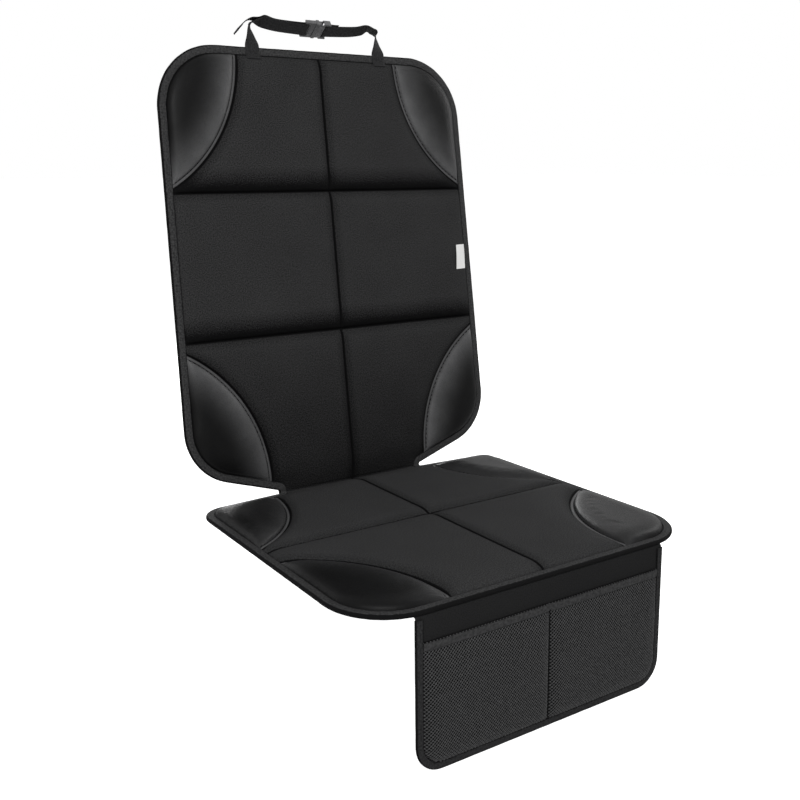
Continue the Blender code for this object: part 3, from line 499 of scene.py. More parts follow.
class Patterns:
    """Builds each shared pattern once, as a node group with named sockets."""

    def __init__(self) -> None:
        """Starts with no group built."""
        self.built: dict[PatternKind, bpy.types.NodeTree] = {}

    def group(self, kind: PatternKind) -> bpy.types.NodeTree:
        """Returns a pattern's node group, built at its first use."""
        if kind not in self.built:
            makers: dict[PatternKind, Callable[[Graph, Node], dict[str, Socket]]] = {
                PatternKind.WEAVE: self.weave,
                PatternKind.GRAIN: self.grain,
                PatternKind.RIB: self.rib,
                PatternKind.HANDLING: self.handling,
                PatternKind.SEAMS: self.seams,
            }
            tree = bpy.data.node_groups.new(kind.value, "ShaderNodeTree")
            tree.interface.new_socket(name="Place", in_out="INPUT", socket_type="NodeSocketVector")
            size = tree.interface.new_socket(name="Density", in_out="INPUT", socket_type="NodeSocketFloat")
            size.default_value = 1000.0
            for name in ("Depth", "Gap", "Under") if kind is PatternKind.SEAMS else ("Height", "Shade"):
                tree.interface.new_socket(name=name, in_out="OUTPUT", socket_type="NodeSocketFloat")
            start = tree.nodes.new("NodeGroupInput")
            end = tree.nodes.new("NodeGroupOutput")
            for name, socket in makers[kind](Graph(tree), start).items():
                tree.links.new(socket, end.inputs[name])
            self.built[kind] = tree
        return self.built[kind]

    def weave(self, graph: Graph, start: Node) -> dict[str, Socket]:
        """Draws crossing threads, over and under, with yarns of slightly unlike shade.

        Args:
            graph: the group's graph.
            start: the group's input node.

        Returns:
            The sockets of its outputs.
        """
        settings = {0: start.outputs["Place"], "Scale": start.outputs["Density"]}
        place = graph.add("VectorMath", settings, operation="SCALE")
        wobble = graph.noise(start.outputs["Place"], 90.0)
        split = graph.add("SeparateXYZ", {0: place.outputs[0]})
        x = graph.plus(split.outputs["X"], graph.times(wobble, 0.9))
        y = graph.plus(split.outputs["Y"], graph.times(wobble, -0.9))
        warp = graph.math("SINE", graph.times(x, math.pi))
        weft = graph.math("SINE", graph.times(y, math.pi))
        crossing = graph.times(warp, weft)
        height = graph.remap(crossing, -1, 1, 0, 1)
        yarn = graph.noise(place.outputs[0], 0.55, 3.0)
        cloud = graph.noise(start.outputs["Place"], 14.0, 3.0)
        shade = graph.plus(graph.remap(yarn, 0.3, 0.7, 0.2, 0.75), graph.remap(cloud, 0.3, 0.7, -0.03, 0.03))
        return {"Height": height, "Shade": shade}

    def grain(self, graph: Graph, start: Node) -> dict[str, Socket]:
        """Draws the pebbles and creases of leather.

        Args:
            graph: the group's graph.
            start: the group's input node.

        Returns:
            The sockets of its outputs.
        """
        drift = graph.add("TexNoise", {"Vector": start.outputs["Place"], "Scale": 160.0, "Detail": 2.0})
        bent = graph.add("VectorMath", {0: drift.outputs["Color"], "Scale": 0.0016}, operation="SCALE")
        place = graph.add("VectorMath", {0: start.outputs["Place"], 1: bent.outputs[0]}, operation="ADD")
        settings = {"Vector": place.outputs[0], "Scale": start.outputs["Density"]}
        pebbles = graph.add("TexVoronoi", settings, feature="DISTANCE_TO_EDGE")
        crease = graph.remap(pebbles.outputs["Distance"], 0.0, 0.16, 0.0, 1.0)
        fine = graph.noise(place.outputs[0], 2400.0, 2.0)
        height = graph.plus(graph.times(crease, 0.8), graph.times(fine, 0.25))
        cloud = graph.noise(start.outputs["Place"], 25.0, 3.0)
        shade = graph.times(graph.remap(crease, 0, 1, 0.55, 0.85), graph.remap(cloud, 0.3, 0.7, 0.8, 1.15))
        return {"Height": height, "Shade": shade}

    def rib(self, graph: Graph, start: Node) -> dict[str, Socket]:
        """Draws the ribs across a woven tape.

        Args:
            graph: the group's graph.
            start: the group's input node.

        Returns:
            The sockets of its outputs.
        """
        split = graph.add("SeparateXYZ", {0: start.outputs["Place"]})
        wobble = graph.noise(start.outputs["Place"], 300.0)
        along = graph.times(split.outputs["X"], start.outputs["Density"])
        along = graph.plus(along, graph.times(wobble, 0.8))
        rib = graph.math("SINE", graph.times(along, 2 * math.pi))
        across = graph.times(graph.times(split.outputs["Y"], start.outputs["Density"]), math.pi)
        thread = graph.times(graph.math("SINE", across), 0.35)
        height = graph.remap(graph.plus(rib, thread), -1.3, 1.3, 0, 1)
        shade = graph.remap(graph.noise(start.outputs["Place"], 420.0, 3.0), 0.3, 0.7, 0.2, 0.8)
        return {"Height": height, "Shade": shade}

    def handling(self, graph: Graph, start: Node) -> dict[str, Socket]:
        """Draws the faint uneven polish that folding and handling leave.

        Args:
            graph: the group's graph.
            start: the group's input node.

        Returns:
            The sockets of its outputs.
        """
        place = start.outputs["Place"]
        broad = graph.noise(place, 9.0, 4.0)
        speck = graph.noise(place, 260.0, 2.0)
        shade = graph.remap(graph.plus(broad, graph.times(speck, 0.35)), 0.4, 0.95, 0.0, 1.0)
        height = graph.remap(speck, 0.55, 0.8, 0.0, 1.0)
        return {"Height": height, "Shade": shade}

    def seams(self, graph: Graph, start: Node) -> dict[str, Socket]:
        """Measures, on the flat plan, the depth in a leather corner and the gap to a quilted line, and gives the
        painted shade of the back's fields.

        Args:
            graph: the group's graph.
            start: the group's input node.

        Returns:
            The sockets of its outputs, the first two in metres and the last from 0 to 1.
        """
        split = graph.add("SeparateXYZ", {0: start.outputs["Place"]})
        across = graph.math("ABSOLUTE", split.outputs["X"])
        spot = graph.add("CombineXYZ", {0: across, 1: split.outputs["Y"]}).outputs[0]
        depth: object = -1.0
        for seam in CORNER_SEAMS.values():
            centre = (float(seam.centre[0]), float(seam.centre[1]), 0.0)
            reach = graph.add("VectorMath", {0: spot, 1: centre}, operation="DISTANCE").outputs["Value"]
            depth = graph.math("MAXIMUM", depth, graph.math("SUBTRACT", float(seam.radius), reach))
        gap = across
        for line in (*BACK_QUILTING, *SEAT_QUILTING):
            away = graph.math("ABSOLUTE", graph.math("SUBTRACT", split.outputs["Y"], line))
            gap = graph.math("MINIMUM", gap, away)
        # Painted shade: darker towards the back's crease, and darker on each field's lower part, just above each of
        # the back's seams.
        under: object = graph.remap(split.outputs["Y"], 0.0, BACK_QUILTING[0], 0.55, 0.15)
        under = graph.times(under, graph.remap(split.outputs["Y"], 0.0, 0.001, 0, 1))
        for line in BACK_QUILTING:
            over = graph.math("SUBTRACT", split.outputs["Y"], line)
            fall = graph.math("POWER", graph.remap(over, 0.0, 0.045, 1, 0), 1.5)
            under = graph.math("MAXIMUM", under, graph.times(fall, graph.remap(over, 0.0, 0.0005, 0, 1)))
        return {"Depth": depth, "Gap": gap, "Under": under}


PATTERNS = Patterns()
Colour = tuple[float, float, float]


@dataclass(frozen=True)
class Finish:
    """A surface: two shades of one colour, its gloss and the pattern that it has."""

    name: str
    dark: Colour
    light: Colour
    roughness: tuple[float, float]
    pattern: PatternKind
    density: float
    depth: float
    bump: float = 0.6
    specular: float = 0.35
    sheen: float = 0.0
    on_plan: bool = True

    def place(self, graph: Graph) -> Socket:
        """Returns the coordinates that the pattern is read at."""
        source = graph.add("TexCoord")
        return source.outputs["UV"] if self.on_plan else source.outputs["Object"]

    def group(self, graph: Graph, place: Socket, kind: PatternKind) -> Node:
        """Adds a pattern's group, read at a place."""
        group = graph.add("Group", node_tree=PATTERNS.group(kind))
        graph.tree.links.new(place, group.inputs["Place"])
        return group

    def relief(self, graph: Graph, place: Socket, height: Socket) -> Socket:
        """Returns the height that the bump reads. A finish with more relief adds its own."""
        return height

    def tint(self, graph: Graph, place: Socket, shade: Socket) -> Socket:
        """Returns the share of the light shade. A finish with more colour adds its own."""
        return shade

    def build(self) -> bpy.types.Material:
        """Makes the material, or returns it if it is there already.

        Returns:
            The material.
        """
        name = f"{self.name}_finish"
        found = bpy.data.materials.get(name)
        if found:
            return found
        made = bpy.data.materials.new(name)
        made.use_nodes = True
        graph = Graph(made.node_tree)
        shader = made.node_tree.nodes["Principled BSDF"]
        place = self.place(graph)
        pattern, marks = (self.group(graph, place, kind) for kind in (self.pattern, PatternKind.HANDLING))
        pattern.inputs["Density"].default_value = self.density
        shade = self.tint(graph, place, pattern.outputs["Shade"])
        colours = {0: shade, 6: (*self.dark, 1.0), 7: (*self.light, 1.0)}
        mix = graph.add("Mix", colours, data_type="RGBA", clamp_factor=True)
        gloss = graph.times(marks.outputs["Shade"], 0.6)
        gloss = graph.math("ADD", gloss, graph.times(pattern.outputs["Shade"], 0.4), clamp=True)
        rough = graph.remap(gloss, 0, 1, *self.roughness)
        height = self.relief(graph, place, pattern.outputs["Height"])
        bump = graph.add("Bump", {"Height": height, "Strength": self.bump, "Distance": self.depth})
        links = {"Base Color": mix.outputs[2], "Roughness": rough, "Normal": bump.outputs["Normal"]}
        for name, socket in links.items():
            graph.tree.links.new(socket, shader.inputs[name])
        shader.inputs["Specular IOR Level"].default_value = self.specular
        shader.inputs["Sheen Weight"].default_value = self.sheen
        shader.inputs["Sheen Roughness"].default_value = 0.45
        return made


@dataclass(frozen=True)
class QuiltedFinish(Finish):
    """A fabric with painted shade along its quilting and beside the leather, and painted shade on the lower part of
    each bulging field of the back.
    """

    seam_width: float = 0.0014
    # The last field sets the strength of the painted shade on the back's fields.
    painted_field_shade: float = 0.62

    def tint(self, graph: Graph, place: Socket, shade: Socket) -> Socket:
        """Paints shade along the quilting, beside the leather and on the lower part of each field of the back."""
        seams = self.group(graph, place, PatternKind.SEAMS)
        beside = graph.math("ABSOLUTE", seams.outputs["Depth"])
        near = graph.math("MINIMUM", seams.outputs["Gap"], beside)
        # Painted shade: a dark line in each seam, and a soft fall-off beside it.
        clear = graph.remap(near, self.seam_width * 0.6, self.seam_width * 1.5, -1.6, 0.0)
        soft = graph.remap(near, self.seam_width, self.seam_width * 9, -0.16, 0.0)
        # Painted shade on the lower part of each field of the back.
        under = graph.times(seams.outputs["Under"], -self.painted_field_shade)
        return graph.plus(graph.plus(shade, clear), graph.plus(soft, under))


@dataclass(frozen=True)
class LeatherFinish(Finish):
    """Imitation leather with a painted highlight on its folded edge and a broad painted highlight beside the
    topstitching, weaker on the seat.
    """

    # The next three fields set the painted highlights: the broad one beside the topstitching, the one on the folded
    # edge, and the share of the broad one that the seat keeps.
    broad_highlight: float = 0.66
    folded: float = 0.60
    on_seat: float = 0.30

    def tint(self, graph: Graph, place: Socket, shade: Socket) -> Socket:
        """Adds the painted highlights on the fold and beside the topstitching to the grain's own shade."""
        seams = self.group(graph, place, PatternKind.SEAMS)
        depth = seams.outputs["Depth"]
        # Painted highlight on the folded edge.
        fold_highlight = graph.times(graph.remap(depth, 0.0008, 0.0014, 0, 1), graph.remap(depth, 0.0034, 0.0046, 1, 0))
        # Broad painted highlight beside the topstitching, fading outwards and weaker on the seat.
        highlight_share = graph.times(graph.remap(depth, 0.0040, 0.0050, 0, 1), graph.remap(depth, 0.008, 0.058, 1, 0))
        split = graph.add("SeparateXYZ", {0: place})
        highlight_share = graph.times(graph.times(highlight_share, highlight_share), graph.remap(split.outputs["Y"], -0.02, 0.02, self.on_seat, 1))
        extra = graph.plus(graph.times(fold_highlight, self.folded), graph.times(highlight_share, self.broad_highlight))
        return graph.times(shade, graph.plus(extra, 0.03))


@dataclass(frozen=True)
class TapeFinish(Finish):
    """A tape with painted shade on its bend and along its inner edge."""

    bend: tuple[float, float] = (0.0084, 0.0171)

    def tint(self, graph: Graph, place: Socket, shade: Socket) -> Socket:
        """Paints shade on the bend and the edge, by the way round the tape."""
        split = graph.add("SeparateXYZ", {0: place})
        start, end = self.bend
        into = graph.remap(split.outputs["Y"], start + 0.0002, start + 0.0016, 0, 1)
        out = graph.remap(split.outputs["Y"], end - 0.0010, end, 1, 0)
        edge = graph.remap(split.outputs["Y"], 0.0003, 0.0008, 1, 0)
        # Painted shade: the bend, which turns from the light, and the inner edge beside the pad.
        dark = graph.math("MAXIMUM", graph.times(into, out), edge)
        return graph.math("SUBTRACT", shade, graph.times(dark, 0.9))


@dataclass(frozen=True)
class DottedFinish(Finish):
    """A sheet with raised dots in straight rows, for grip."""

    dot_pitch: float = 0.006

    def relief(self, graph: Graph, place: Socket, height: Socket) -> Socket:
        """Adds the raised dots to the sheet's own relief."""
        dots = self.dots(graph, place)
        return graph.plus(graph.times(height, 0.15), dots)

    def tint(self, graph: Graph, place: Socket, shade: Socket) -> Socket:
        """Makes the dots a little lighter than the sheet."""
        return graph.plus(graph.times(shade, 0.5), graph.times(self.dots(graph, place), 0.5))

    def dots(self, graph: Graph, place: Socket) -> Socket:
        """Returns 1 on a dot and 0 between the dots."""
        settings = {"Vector": place, "Scale": 1 / self.dot_pitch, "Randomness": 0.0}
        cell = graph.add("TexVoronoi", settings, voronoi_dimensions="2D")
        return graph.remap(cell.outputs["Distance"], 0.30, 0.22, 0.0, 1.0)


@dataclass(frozen=True)
class Finishes:
    """All finishes of the mat."""

    oxford: Finish = QuiltedFinish(
        "oxford_fabric", (0.003, 0.003, 0.0032), (0.064, 0.064, 0.065), (0.92, 0.80),
        PatternKind.WEAVE, 1300.0, 0.00030, 0.6, specular=0.06,
    )
    # The light shade shows only where highlights are painted; the leather's own tone stays near the dark one.
    leather: Finish = LeatherFinish(
        "imitation_leather", (0.0020, 0.0020, 0.0021), (0.170, 0.170, 0.173), (0.46, 0.32),
        PatternKind.GRAIN, 700.0, 0.00020, 0.40, specular=0.07,
    )
    tape: Finish = TapeFinish(
        "binding_tape", (0.003, 0.003, 0.0032), (0.070, 0.070, 0.071), (0.90, 0.75),
        PatternKind.RIB, 850.0, 0.00030, 0.7, specular=0.08,
    )
    # A darker copy of the binding tape: painted shade on the flap's binding.
    flap_tape_painted_shade: Finish = TapeFinish(
        "flap_binding_tape", (0.003, 0.003, 0.0032), (0.042, 0.042, 0.043), (0.90, 0.75),
        PatternKind.RIB, 850.0, 0.00030, 0.7, specular=0.08, bend=(0.0069, 0.0134),
    )
    # A darker copy of the oxford fabric: painted shade on the flap's cloth.
    flap_cloth_painted_shade: Finish = Finish(
        "flap_fabric", (0.007, 0.007, 0.0072), (0.022, 0.022, 0.0225), (0.95, 0.85),
        PatternKind.WEAVE, 1300.0, 0.00030, 0.6, specular=0.06,
    )
    hem: Finish = Finish(
        "hem_tape", (0.006, 0.006, 0.0063), (0.060, 0.060, 0.061), (0.85, 0.70),
        PatternKind.WEAVE, 520.0, 0.00040, 0.8, specular=0.14,
    )
    net: Finish = Finish(
        "pocket_net", (0.026, 0.026, 0.027), (0.085, 0.085, 0.086), (0.70, 0.55),
        PatternKind.RIB, 2600.0, 0.00010, 0.4, specular=0.15, on_plan=False,
    )
    webbing: Finish = Finish(
        "webbing", (0.004, 0.004, 0.0043), (0.034, 0.034, 0.035), (0.72, 0.55),
        PatternKind.RIB, 700.0, 0.00040, 0.8, specular=0.10,
    )
    moulding: Finish = Finish(
        "buckle_plastic", (0.060, 0.060, 0.062), (0.130, 0.130, 0.134), (0.40, 0.28),
        PatternKind.HANDLING, 1000.0, 0.00006, 0.4, specular=0.45, on_plan=False,
    )
    thread: Finish = Finish(
        "sewing_thread", (0.008, 0.008, 0.0083), (0.030, 0.030, 0.031), (0.70, 0.55),
        PatternKind.RIB, 3200.0, 0.00008, 0.6, specular=0.20, on_plan=False,
    )
    # Near-black thread. Its colour is the thread's own; where its rows run in the quilting's grooves or along the
    # pockets' mouth, it also paints the shade line there.
    dark_thread: Finish = Finish(
        "dark_thread", (0.0008, 0.0008, 0.0009), (0.0040, 0.0040, 0.0042), (0.85, 0.75),
        PatternKind.RIB, 3200.0, 0.00008, 0.5, specular=0.05, on_plan=False,
    )
    tag: Finish = Finish(
        "tag_fabric", (0.68, 0.68, 0.67), (0.86, 0.86, 0.85), (0.80, 0.62),
        PatternKind.WEAVE, 2400.0, 0.00012, 0.5, specular=0.25, sheen=0.05,
    )
    backing: Finish = DottedFinish(
        "non_slip_sheet", (0.016, 0.016, 0.0165), (0.062, 0.062, 0.063), (0.92, 0.70),
        PatternKind.WEAVE, 900.0, 0.00060, 0.8, specular=0.20,
    )


FINISHES = Finishes()


@dataclass(frozen=True)
class EdgeLine:
    """A line of the plan with the direction into the cloth at each of its points."""

    points: Array
    inward: Array

    def inset(self, amount: float) -> Array:
        """Returns the line moved into the cloth."""
        return self.points + self.inward * amount

    def mirrored(self) -> "EdgeLine":
        """Returns the whole line, closed with its mirror image."""
        flip = np.array([-1, 1])
        points = np.vstack([self.points, self.points[::-1] * flip])
        return EdgeLine(points, np.vstack([self.inward, self.inward[::-1] * flip]))


def fillet(before: Array, corner: Array, after: Array, radius: float, step: float, power: float = 1.0) -> EdgeLine:
    """Rounds a corner of an outline that has the cloth on its right.

    Args:
        before: the corner before this one.
        corner: the corner to round.
        after: the corner after it.
        radius: the rounding's radius.
        step: the distance between points.
        power: over 1, draws the points towards the middle of the arc.

    Returns:
        The arc, with the directions into the cloth.
    """
    before, corner, after = (np.array(p, float) for p in (before, corner, after))
    back, ahead = unit(before - corner), unit(after - corner)
    half = math.acos(float(np.clip(back @ ahead, -1, 1))) / 2
    centre = corner + unit(back + ahead) * radius / math.sin(half)
    start = corner + back * radius / math.tan(half) - centre
    turning = 1.0 if back[0] * ahead[1] - back[1] * ahead[0] < 0 else -1.0
    whole = turning * (math.pi - 2 * half)
    steps = max(18, round(abs(whole) * radius / step))
    t = 2 * np.arange(steps + 1) / steps - 1
    angle = whole * (0.5 + 0.5 * np.sign(t) * np.abs(t) ** power)
    s, c = np.sin(angle), np.cos(angle)
    arm = np.stack([c * start[0] - s * start[1], s * start[0] + c * start[1]], 1)
    return EdgeLine(centre + arm, turning * arm / radius)


def joined(arcs: Sequence[EdgeLine], step: float) -> EdgeLine:
    """Joins arcs with straight stretches that have points of their own.

    Args:
        arcs: the arcs, in order.
        step: the distance between points of the straight stretches.

    Returns:
        The whole line.
    """
    points, inward = [arcs[0].points], [arcs[0].inward]
    for before, after in zip(arcs, arcs[1:]):
        gap = np.linalg.norm(after.points[0] - before.points[-1])
        share = np.linspace(0, 1, max(2, round(gap / step) + 1))[1:-1, None]
        points.append(before.points[-1] * (1 - share) + after.points[0] * share)
        inward.append(np.repeat(before.inward[-1:], len(share), axis=0))
        points.append(after.points)
        inward.append(after.inward)
    return EdgeLine(np.vstack(points), np.vstack(inward))


@dataclass(frozen=True)
class MatPlan:
    """The sizes of the flat mat, and the bend at its crease."""

    gap: float = 0.0003
    back_height: float = 0.592
    back_width_top: float = 0.466
    back_width_bottom: float = 0.490
    back_top_radius: float = 0.085
    back_bottom_radius: float = 0.075
    back_side_foot: float = 0.045
    seat_depth: float = 0.412
    seat_width_rear: float = 0.480
    seat_width_front: float = 0.494
    seat_rear_drop: float = 0.009
    seat_rear_radius: float = 0.035
    seat_front_radius: float = 0.075
    notch_apex: float = 0.104
    notch_radius: float = 0.003
    tilt: float = math.radians(8.2)
    crease_radius: float = 0.003
    crease_level: float = 0.003
    backing_thickness: float = 0.0010
    seam_top: float = 0.0033
    tape: float = 0.0009
    binding_face: float = 0.011
    crease_gap: float = 0.0005
    step: float = 0.0036

    @property
    def half_turn(self) -> float:
        """Half the angle that the mat turns through at its crease."""
        return (math.pi / 2 - self.tilt) / 2

    @property
    def bend(self) -> float:
        """Half the length of the bend in the flat plan."""
        return self.crease_radius * self.half_turn

    @property
    def lip_end(self) -> float:
        """Where the pads start to rise, in from the outline."""
        return self.binding_face + self.gap

    @property
    def pad_inset(self) -> float:
        """How far the pads stay in from the outline."""
        return self.tape + self.gap

    @property
    def pad_bottom(self) -> float:
        """The height of the pads' underside."""
        return self.backing_thickness + self.gap

    @property
    def binding_top(self) -> float:
        """The height of the binding's upper face."""
        return self.seam_top + self.gap + self.tape

    @property
    def binding_foot(self) -> float:
        """The height of the binding's lower face."""
        return -self.crease_gap - self.tape

    def fold(self, flat: Array) -> Array:
        """Bends flat points into their places in the world.

        Args:
            flat: u, v and n along the last axis of an array.

        Returns:
            The array with x, y and z in their places.
        """
        u, v, n = np.moveaxis(np.asarray(flat, float), -1, 0)
        climb = n - self.crease_level
        radius, bend = self.crease_radius, self.bend
        foot = radius * math.tan(self.half_turn)
        s, c = math.sin(self.tilt), math.cos(self.tilt)
        run = v - bend + foot
        turn = np.clip(v, -bend, bend) / radius + self.half_turn
        on_back, on_seat = v > bend, v < -bend
        round_y = -foot + (radius - climb) * np.sin(turn)
        y = np.select([on_back, on_seat], [run * s - climb * c, v + bend - foot], round_y)
        z = np.select([on_back, on_seat], [run * c + climb * s, climb], radius - (radius - climb) * np.cos(turn))
        return np.stack([u, y + self.seat_depth / 2, z + self.crease_level], axis=-1)

    def lift(self, flat: Array) -> tuple[Array, Array]:
        """Bends flat points into their places, and gives the directions out of the mat there too."""
        places = self.fold(flat)
        return places, (self.fold(flat + [0, 0, PROBE]) - places) / PROBE

    def half_edge(self) -> EdgeLine:
        """Draws the right half of the outline.

        Returns:
            The line from the back's top to the seat's front.
        """
        top = (0, self.back_height)
        back_top = (self.back_width_top / 2, self.back_height)
        back_foot = (self.back_width_bottom / 2, self.back_side_foot)
        notch = (self.notch_apex, 0)
        seat_rear = (self.seat_width_rear / 2, -self.seat_rear_drop)
        seat_front = (self.seat_width_front / 2, -self.seat_depth)
        front = (0, -self.seat_depth)
        step = self.step
        first = EdgeLine(np.array([[0.0, self.back_height]]), np.array([[0.0, -1.0]]))
        last = EdgeLine(np.array([[0.0, -self.seat_depth]]), np.array([[0.0, 1.0]]))
        arcs = [
            first,
            fillet(top, back_top, back_foot, self.back_top_radius, step),
            fillet(back_top, back_foot, notch, self.back_bottom_radius, step),
            fillet(back_foot, notch, seat_rear, self.notch_radius, step, 2.0),
            fillet(notch, seat_rear, seat_front, self.seat_rear_radius, step),
            fillet(seat_rear, seat_front, front, self.seat_front_radius, step),
            last,
        ]
        return joined(arcs, step)

    def loop(self) -> EdgeLine:
        """Returns the closed outline, each point once."""
        half = self.half_edge()
        whole = half.mirrored()
        keep = np.ones(len(whole.points), bool)
        keep[[len(half.points), len(whole.points) - 1]] = False
        return EdgeLine(whole.points[keep], whole.inward[keep])


class RoundSeam:
    """The round seam between a centre panel and a leather corner, on the right half of the mat."""

    steps = 66

    def __init__(self, first: Sequence[float], last: Sequence[float], bow: float) -> None:
        """Lays the seam's circle.

        Args:
            first: where the seam meets the outline, nearer the middle.
            last: where it meets the outline at the side.
            bow: how far it bows towards the middle.
        """
        start, end = np.array(first), np.array(last)
        chord = end - start
        length = float(np.linalg.norm(chord))
        across = np.array([chord[1], -chord[0]]) / length
        across = -across if across[0] > 0 else across
        self.radius = length**2 / (8 * bow) + bow / 2
        self.centre = (start + end) / 2 - across * (self.radius - bow)
        self.angles = [self.angle_of(start), self.angle_of(end)]

    def angle_of(self, point: Array) -> float:
        """Returns a point's angle about the seam's centre, counted from -u."""
        arm = point - self.centre
        return math.atan2(-arm[1], -arm[0])

    def depth(self, points: Array) -> Array:
        """Returns how far points are inside the seam's circle, on either half of the mat."""
        right = np.abs(points) * [1, 0] + points * [0, 1]
        return self.radius - np.linalg.norm(right - self.centre, axis=1)

    def beside(self, depth: float, spacing: float, extra: float = 0.06) -> Array:
        """Returns points along the seam, at a depth inside its circle.

        Args:
            depth: how far inside, or outside if negative.
            spacing: the distance between points.
            extra: the angle that the line runs past each end.

        Returns:
            The points.
        """
        low, high = sorted(self.angles)
        radius = self.radius - depth
        count = max(2, round((high - low + 2 * extra) * radius / spacing))
        angles = np.linspace(low - extra, high + extra, count)
        return self.centre - radius * np.stack([np.cos(angles), np.sin(angles)], axis=1)

    def arc(self, radius: float, start: Array, end: Array) -> list[Array]:
        """Runs round the circle between two points.

        Args:
            radius: the arc's radius.
            start: its first point.
            end: its last point.

        Returns:
            The points, both ends with them.
        """
        first, last = self.angle_of(start), self.angle_of(end)
        low, high = sorted((first, last))
        shared = np.linspace(*self.angles, self.steps + 1)
        margin = 0.3 * abs(shared[1] - shared[0])
        angles = sorted((a for a in shared if low + margin < a < high - margin), reverse=first > last)
        return [start, *(self.centre - radius * np.array([math.cos(a), math.sin(a)]) for a in angles), end]

    def cut(self, line: Array, radius: float) -> tuple[list[Array], list[Array], list[Array]]:
        """Splits an outline at the circle.

        Args:
            line: an open line that enters the circle once and leaves it once.
            radius: the circle's radius.

        Returns:
            The stretches before, inside and after the circle, each with the crossings that it ends at.
        """
        within = np.linalg.norm(line - self.centre, axis=1) < radius
        enter = int(np.argmax(within))
        leave = len(line) - 1 - int(np.argmax(within[::-1]))
        entry = self.crossing(line[enter - 1], line[enter], radius)
        exit_point = self.crossing(line[leave], line[leave + 1], radius)
        return [*line[:enter], entry], [entry, *line[enter : leave + 1], exit_point], [exit_point, *line[leave + 1 :]]

    def crossing(self, a: Array, b: Array, radius: float) -> Array:
        """Returns where the stretch from a to b crosses the circle."""
        low, high = 0.0, 1.0
        starts_within = np.linalg.norm(a - self.centre) < radius
        for _ in range(40):
            middle = (low + high) / 2
            if (np.linalg.norm(a + (b - a) * middle - self.centre) < radius) == starts_within:
                low = middle
            else:
                high = middle
        return a + (b - a) * low


BACK_QUILTING = (0.215, 0.405)
SEAT_QUILTING = (-0.186,)
CORNER_SEAMS = {
    Corner.BACK_TOP: RoundSeam((0.122, 0.592), (0.2365, 0.405), 0.0325),
    Corner.BACK_BOTTOM: RoundSeam((0.1265, 0.008), (0.2435, 0.208), 0.0355),
    Corner.SEAT_REAR: RoundSeam((0.128, -0.002), (0.241, -0.176), 0.031),
    Corner.SEAT_FRONT: RoundSeam((0.130, -0.411), (0.245, -0.213), 0.041),
}


@dataclass(frozen=True)
class PuffSettings:
    """How the padding pushes its cover out."""

    pressure: float = 3.0
    frames: int = 20
    quality: int = 5
    tension: float = 15.0
    bending: float = 0.8
    slack: float = 0.002
    cap: float = 0.0004


def puff(points: Array, faces: Faces, pinned: Array, settings: PuffSettings) -> Array:
    """Lets Cloth stretch a cover over its padding.

    Args:
        points: the cover's flat points with their heights.
        faces: its triangles.
        pinned: which points are sewn down.
        settings: the cloth's settings.

    Returns:
        The points after the simulation, none moved much further than the cap.
    """
    scene = bpy.context.scene
    mesh = bpy.data.meshes.new("cover")
    mesh.from_pydata(points.tolist(), [], faces)
    cover = bpy.data.objects.new("cover", mesh)
    bpy.context.collection.objects.link(cover)
    sewn = cover.vertex_groups.new(name="sewn")
    sewn.add(np.flatnonzero(pinned).tolist(), 1.0, "REPLACE")
    cloth = cover.modifiers.new("cloth", "CLOTH")
    cloth.settings.quality = settings.quality
    cloth.settings.mass = 0.3
    cloth.settings.tension_stiffness = settings.tension
    cloth.settings.compression_stiffness = settings.tension
    cloth.settings.bending_stiffness = settings.bending
    cloth.settings.use_pressure = True
    cloth.settings.uniform_pressure_force = settings.pressure
    cloth.settings.shrink_min = -settings.slack
    cloth.settings.vertex_group_mass = sewn.name
    cloth.settings.effector_weights.gravity = 0.0
    cloth.collision_settings.use_collision = False
    cloth.point_cache.frame_start = 1
    cloth.point_cache.frame_end = settings.frames
    for frame in range(1, settings.frames + 1):
        scene.frame_set(frame)
    evaluated = cover.evaluated_get(bpy.context.evaluated_depsgraph_get())
    moved = np.zeros(len(points) * 3)
    evaluated.data.vertices.foreach_get("co", moved)
    moved = moved.reshape(-1, 3) - points
    bpy.data.objects.remove(cover, do_unlink=True)
    bpy.data.meshes.remove(mesh)
    scene.frame_set(1)
    length = np.linalg.norm(moved, axis=1, keepdims=True)
    return points + moved * np.tanh(length / settings.cap) * settings.cap / np.maximum(length, 1e-9)


PATCH_ROWS = (0.0006, 0.0012, 0.0022, 0.0032, 0.0041, 0.0046, 0.0050, 0.0054, 0.0060, 0.0072, 0.0090)
SEAM_ROWS = (0.0009, 0.0020, 0.0040)
MIDDLE_ROWS = (0.0007, 0.0016, 0.0032)
ROW_SPACING = 0.003


